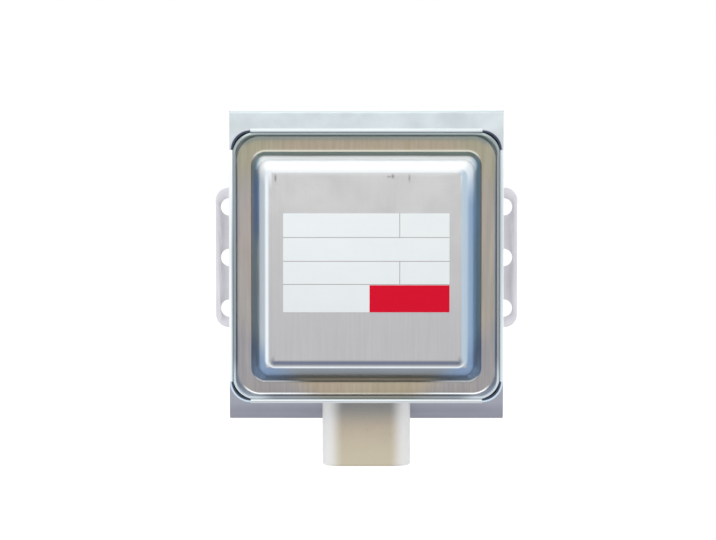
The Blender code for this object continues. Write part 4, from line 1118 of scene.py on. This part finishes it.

# %% [markdown]
# ## Cover finish: riser and shoulder
#
# The riser and the shoulder carry painted light and shade: each side has its own run of blue-tinted
# painted reflections and shade, from slate at the foot to a painted highlight nearly white at the
# shoulder. Painted highlights and a painted crease shade run along the plateau's edge, and a thin
# painted highlight marks where the foot starts to bend.

# %% Riser and shoulder
# Colours of painted highlights, painted reflections and painted shade on the riser and shoulder.
PALE_HIGHLIGHT = (0.82, 0.90, 0.95, 1.0)
WHITE_HIGHLIGHT = (0.94, 0.98, 1.0, 1.0)
LEFT_RISER_REFLECTION = (0.42, 0.49, 0.55, 1.0)
RIGHT_EDGE_HIGHLIGHT = (0.42, 0.56, 0.68, 1.0)
GOLD_FOOT_HIGHLIGHT = (0.66, 0.66, 0.57, 1.0)
RIGHT_RISER_REFLECTION = (0.24, 0.38, 0.57, 1.0)
RIGHT_RISER_BLUE_REFLECTION = (0.36, 0.64, 0.96, 1.0)
LOWER_RISER_SHADE = (0.20, 0.23, 0.27, 1.0)
LEFT_FOOT_SHADE = (0.27, 0.44, 0.54, 1.0)
RIGHT_FOOT_REFLECTION = (0.22, 0.51, 0.72, 1.0)
TOP_FOOT_SHADE = (0.23, 0.33, 0.35, 1.0)
BOTTOM_FOOT_SHADE = (0.19, 0.20, 0.20, 1.0)
LOW_CORNER_REFLECTION = (0.19, 0.285, 0.45, 1.0)
LEFT_BLUE_REFLECTION = (0.20, 0.34, 0.62, 1.0)
CORNER_FOOT_HIGHLIGHT = (0.34, 0.48, 0.66, 1.0)
FOOT_LIGHT = (0.60, 0.58, 0.52, 1.0)
FOOT_EDGE_SHADE = (0.22, 0.20, 0.16, 1.0)
CREASE_SHADE = (0.10, 0.12, 0.19, 1.0)

# Masks of the shoulder's and the foot's painted highlights; every layer below paints light or shade by
# side.
shoulder_highlight = band(from_foot, 26.4, 31.1, 0.3) * (z - abs(x)).rise(-6 * MM, 1 * MM)
foot_highlight = band(from_foot, 31.95, 32.45, 0.15) * bottom * lower_corners
coat = cover_finish.layered(coat, [
    (band(from_foot, 28.3, 32.0, 0.5) * left * 0.8, LEFT_RISER_REFLECTION),
    (band(from_foot, 28.3, 32.0, 0.6) * right * 0.9, RIGHT_RISER_REFLECTION),
    (shoulder_highlight * 0.95, WHITE_HIGHLIGHT),
    (band(from_foot, 28.0, 32.2, 0.4) * bottom * 0.9, LOWER_RISER_SHADE),
    (band(from_foot, 30.6, 31.7, 0.4) * left * 0.9, LEFT_FOOT_SHADE),
    (band(from_foot, 31.3, 31.9, 0.4) * right * 0.8, RIGHT_FOOT_REFLECTION),
    (band(from_foot, 30.2, 30.8, 0.4) * right * 0.85, RIGHT_RISER_BLUE_REFLECTION),
    (band(from_foot, 31.3, 32.4, 0.25) * top * 0.9, TOP_FOOT_SHADE),
    (band(from_foot, 29.3, 32.0, 0.7) * bottom * 0.95, BOTTOM_FOOT_SHADE),
    (band(from_foot, 27.9, 32.4, 0.5) * lower_corners * 0.85, LOW_CORNER_REFLECTION),
    (band(from_foot, 30.0, 31.7, 0.4) * left * band(z, 8.0, 26.0, 4.0) * 0.9, LEFT_BLUE_REFLECTION),
    (band(from_foot, 27.5, 30.6, 0.5) * right * z.rise(16 * MM, 30 * MM) * 0.8, PALE_HIGHLIGHT),
    (band(from_foot, 31.25, 32.0, 0.3) * bottom * (1 - lower_corners) * 0.9, FOOT_LIGHT),
    (band(from_foot, 32.05, 32.65, 0.25) * bottom * 0.8, FOOT_EDGE_SHADE),
    (band(from_foot, 30.9, 32.2, 0.5) * to_lower_corner.rise(54 * MM, 60 * MM) * 0.7, CORNER_FOOT_HIGHLIGHT),
    (foot_highlight * 0.95, WHITE_HIGHLIGHT),
    (band(from_top, 27.3, 28.2, 0.35) * left * 0.9, PALE_HIGHLIGHT),
    (band(from_top, 26.6, 28.2, 0.35) * right * 0.8, RIGHT_EDGE_HIGHLIGHT),
    (band(from_top, 25.75, 26.9, 0.45) * bottom * 0.9, CREASE_SHADE),
    (band(from_top, 27.4, 27.7, 0.25) * bottom, PALE_HIGHLIGHT),
    (band(from_foot, 32.4, 32.9, 0.25) * top * 0.9, GOLD_FOOT_HIGHLIGHT),
])

# %% [markdown]
# ## Cover finish: bend, lip and scuffs
#
# Painted shade darkens the bend between flange and lip into the darkest line of the cover, and the lip
# carries painted shade that is lighter at the top and the sides, with painted highlights along the bend
# below and towards its lower corners. Four rubbed marks near the plateau's upper edge come from
# stacking and handling.

# %% Bend, lip and scuffs
# Colours of painted shade and painted highlights for the bend and the lip, and of the rubbed marks.
BEND_SHADE = (0.32, 0.37, 0.41, 1.0)
SHADED_LIP = (0.24, 0.275, 0.31, 1.0)
LIT_LIP = (0.37, 0.43, 0.43, 1.0)
LOW_LIP_SHADE = (0.205, 0.21, 0.17, 1.0)
LIP_CORNER_HIGHLIGHT = (0.58, 0.65, 0.71, 1.0)
SCUFF = (0.20, 0.18, 0.18, 1.0)


def scuff(across, up, wide, tall):
    """A small rubbed mark on the plateau, placed and sized in millimetres."""
    return x.near(across * MM, wide * MM) * z.near(up * MM, tall * MM)


lip = band(from_lip, 36.8, 40.0, 0.1)
# Painted shade in the bend and on the lip, lighter on top and at the sides; painted highlights below the
# bend and at the lower corners.
coat = cover_finish.layered(coat, [
    (band(from_lip, 36.2, 36.7, 0.3) * (left + right) * 0.85, BEND_SHADE),
    (band(from_lip, 36.4, 36.8, 0.3) * (top + bottom) * 0.85, BEND_SHADE),
    (band(from_lip, 35.85, 36.2, 0.2) * bottom * (lower_corners * 0.65 + 0.3), WHITE_HIGHLIGHT),
    (lip * 0.9, SHADED_LIP),
    (band(from_lip, 37.15, 40.0, 0.15) * (left + right) * 0.9, LIT_LIP),
    (lip * bottom * (1 - lower_corners) * 0.8, LOW_LIP_SHADE),
    (lip * top * 0.9, LIT_LIP),
    (band(from_lip, 36.5, 36.95, 0.2) * top * 0.9, TOP_BEND_SHADE),
    (band(from_lip, 36.4, 40.0, 0.15) * to_lower_corner.rise(62 * MM, 69 * MM) * 0.85, LIP_CORNER_HIGHLIGHT),
    (scuff(-25.3, 24.6, 0.5, 1.6).larger(scuff(7.4, 25.1, 0.7, 1.0)) * 0.8, SCUFF),
    (scuff(12.0, 24.6, 0.5, 1.7).larger(scuff(6.3, 25.0, 0.9, 0.5)) * 0.6, SCUFF),
])
cover_finish.set("Base Color", coat)
# Metallic is lowered under the painted highlights on the shoulder and at the foot, so that the lamp lights
# them too.
cover_finish.set("Metallic", 0.85 - shoulder_highlight * 0.6 - foot_highlight * 0.6)
cover_finish.set("Roughness", cover_finish.worn + (brushed - 0.5) * 0.12)
cover_finish.bump(cover_finish.relief + brushed * 1.5, METAL_RELIEF)

# %% [markdown]
# ## Rim of the box
#
# The trimmed edge of the can is bare steel, duller on its inner side, with painted highlights on its
# outer side and upper left and a thin line of painted shade along its bottom. At the four lowered
# corners the edge is painted near-black as the shadow between lip and yoke, with a thin painted
# highlight along its outer rim.

# %% Rim finish
# Colours of painted highlights and painted shade on the rim, besides its bare steel.
CORNER_GAP_SHADOW = (0.055, 0.075, 0.12, 1.0)
RIM_STEEL = (0.46, 0.52, 0.56, 1.0)
RIM_HIGHLIGHT = (0.86, 0.92, 0.94, 1.0)
RIM_SHADE_LINE = (0.36, 0.38, 0.41, 1.0)
RIM_LOW_EDGE_LIGHT = (0.55, 0.66, 0.76, 1.0)
RIM_HIGH_EDGE_LIGHT = (0.60, 0.62, 0.66, 1.0)

_, y, z = box_zinc.axes()
from_middle = square_distance(box_zinc, box_side / 2 - BOX_CORNER)
front = y.rise(box_low.y + RIM_NOTCH + 0.4 * MM, box_low.y + RIM_NOTCH + 0.1 * MM)
lowered = front * y.rise(box_low.y + RIM_NOTCH / 2, box_low.y + RIM_NOTCH * 0.8)
outer = from_middle.rise(37.75 * MM, 37.95 * MM)
raised = front * (1 - lowered)
below = z.rise(10 * MM, -10 * MM)
top, bottom, left, right = four_sides(box_zinc)
# Painted highlights, a painted shade line and the painted shadow of the lowered corners.
box_zinc.set("Base Color", box_zinc.layered(box_zinc.tone, [
    (raised, RIM_STEEL),
    (raised * outer * 0.9, RIM_HIGHLIGHT),
    (raised * left * z.rise(0.0, 25 * MM) * 0.85, RIM_HIGHLIGHT),
    (raised * right * band(from_middle, 37.6, 38.3, 0.15) * 0.6, RIM_STEEL),
    (raised * bottom * band(from_middle, 37.4, 37.9, 0.1) * 0.8, RIM_HIGHLIGHT),
    (raised * bottom * band(from_middle, 38.05, 38.4, 0.1), RIM_SHADE_LINE),
    (lowered, CORNER_GAP_SHADOW),
    (lowered * from_middle.rise(37.95 * MM, 38.2 * MM) * (1 - below), RIM_HIGH_EDGE_LIGHT),
    (lowered * from_middle.rise(37.9 * MM, 38.15 * MM) * below, RIM_LOW_EDGE_LIGHT),
]))

# %% [markdown]
# ## Label finish
#
# The sticker is white film with thin printed rules. The rules are drawn from the object's own
# coordinates: three across, one down through the first and the third row, and a red field at the lower
# right.

# %% Printing the label
RULE_WIDTH = 0.16 * MM
ROW_LEVELS = (8.07 * MM, 1.44 * MM, -5.01 * MM)
DIVIDER = 9.32 * MM
RED_START = 0.89 * MM
RED_MARGIN = 0.2 * MM
RULE_INK = (0.30, 0.22, 0.23, 1.0)
RED_INK = (0.78, 0.0, 0.025, 1.0)

label_finish = dull("label_film", (0.93, 0.98, 1.0), 0.45, 3000.0, 0.01, 0.003, specular_ior_level=0.15)
x, _, z = label_finish.axes()
wobble = (label_finish.noise(300.0, 2.0) - 0.5) * (0.06 * MM)
rules = (z + wobble).near(ROW_LEVELS[0], RULE_WIDTH)
for level in ROW_LEVELS[1:]:
    rules = rules.larger((z + wobble).near(level, RULE_WIDTH))
in_first_row = z > ROW_LEVELS[0]
in_third_row = (z > ROW_LEVELS[2]) * (z < ROW_LEVELS[1])
divider = (x + wobble).near(DIVIDER, RULE_WIDTH) * in_first_row.larger(in_third_row)
red_field = (x > RED_START) * (z < ROW_LEVELS[2] - RED_MARGIN)
label_finish.set("Base Color", label_finish.layered(label_finish.tone, [
    (rules.larger(divider) * 0.95, RULE_INK),
    (red_field, RED_INK),
]))

# %% [markdown]
# ## Giving every piece its finish
#
# The solid nodes that stay visible take the finish that their record names. A made piece takes the finish
# of the node it stands for, unless it has one of its own.

# %% Giving every piece its finish
FINISHES = {
    "zinc_plated_steel": zinc, "fin_aluminium": aluminium, "ferrite": ferrite, "copper": copper,
    "soft_iron": iron, "seal_steel": seal_steel, "tungsten": tungsten, "alumina": alumina,
    "capacitor_ceramic": capacitor_ceramic, "terminal_plastic": plastic, "epoxy": epoxy,
    "tinned_brass": tin, "enamelled_wire": enamel, "knitted_wire": wire_mesh,
}
OWN_FINISH = {
    "filter_cover_pressed": cover_finish, "filter_box_drawn": box_zinc, "yoke_folded": yoke_zinc,
    "mounting_plate_blanked": plate_zinc, "terminal_case_moulded": case_plastic,
}
SLOTS = {part["node"]: part["material_slot"] for part in frame["record"]["subparts"]}


def dress(piece, finish):
    piece.data.materials.clear()
    piece.data.materials.append(finish.material)


for node, slot in SLOTS.items():
    solid = bpy.data.objects[node]
    for material_slot in solid.material_slots:
        material_slot.material = FINISHES[slot].material
for name, node in stands_for.items():
    dress(bpy.data.objects[name], OWN_FINISH.get(name, FINISHES[SLOTS[node]]))
dress(label, label_finish)
print(len(SLOTS), "solid nodes and", len(stands_for) + 1, "new pieces have a finish")

# %% [markdown]
# ## Light and background
#
# The photograph has a plain white background and no shadow. The world is white to the camera and to the
# metal, but lights the object only half as much; a large soft lamp above does the rest. The floor lies
# well below the part, so that its shadow falls outside the picture.

# %% World and floor
WORLD_LIGHT = 0.6
FLOOR_DROP = 60 * MM
FLOOR_SIZE = 40.0
FLOOR_GLOW = 0.5


def seen_directly(tree):
    """1 for the rays of the camera, and for what metal and glass show of it."""
    path = tree.nodes.new("ShaderNodeLightPath")
    first = tree.nodes.new("ShaderNodeMath")
    first.operation = "MAXIMUM"
    second = tree.nodes.new("ShaderNodeMath")
    second.operation = "MAXIMUM"
    tree.links.new(path.outputs["Is Camera Ray"], first.inputs[0])
    tree.links.new(path.outputs["Is Glossy Ray"], first.inputs[1])
    tree.links.new(first.outputs[0], second.inputs[0])
    tree.links.new(path.outputs["Is Transmission Ray"], second.inputs[1])
    return second.outputs[0]


world = bpy.data.worlds.new("white_room")
bpy.context.scene.world = world
bpy.context.scene.view_settings.view_transform = "Standard"
world.use_nodes = True
background = world.node_tree.nodes["Background"]
background.inputs["Color"].default_value = (1.0, 1.0, 1.0, 1.0)
level = world.node_tree.nodes.new("ShaderNodeMapRange")
world.node_tree.links.new(seen_directly(world.node_tree), level.inputs["Value"])
level.inputs["To Min"].default_value = WORLD_LIGHT
level.inputs["To Max"].default_value = 1.0
world.node_tree.links.new(level.outputs["Result"], background.inputs["Strength"])

low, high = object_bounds()
nothing_selected()
bpy.ops.mesh.primitive_plane_add(size=FLOOR_SIZE, location=(0.0, 0.0, low[2] - FLOOR_DROP))
floor = bpy.context.object
floor.name = "floor"
floor_finish = Finish("floor_paper", (0.85, 0.85, 0.85), 0.9)
floor_finish.set("Emission Color", (1.0, 1.0, 1.0, 1.0))
tree = floor_finish.tree
glow = tree.nodes.new("ShaderNodeMath")
glow.operation = "MULTIPLY"
tree.links.new(seen_directly(tree), glow.inputs[0])
glow.inputs[1].default_value = FLOOR_GLOW
tree.links.new(glow.outputs[0], floor_finish.shader.inputs["Emission Strength"])
floor.data.materials.append(floor_finish.material)

# %% [markdown]
# ## Lamp
#
# One large square lamp hangs in front of the part and above it. Its size keeps every shade on the sheet
# soft.

# %% Lamp
LAMP_PLACE = Vector((-0.10, -0.60, 0.90))
LAMP_TARGET = Vector((0.0, -0.04, 0.0))
LAMP_SIDE = 1.2
LAMP_POWER = 5.5

lamp = bpy.data.objects.new("key_lamp", bpy.data.lights.new("key_lamp", "AREA"))
lamp.data.shape = "RECTANGLE"
lamp.data.size = LAMP_SIDE
lamp.data.size_y = LAMP_SIDE
lamp.data.energy = LAMP_POWER
lamp.location = LAMP_PLACE
lamp.rotation_euler = (LAMP_TARGET - LAMP_PLACE).to_track_quat("-Z", "Y").to_euler()
bpy.context.collection.objects.link(lamp)
print(lamp.name, LAMP_POWER, "W")
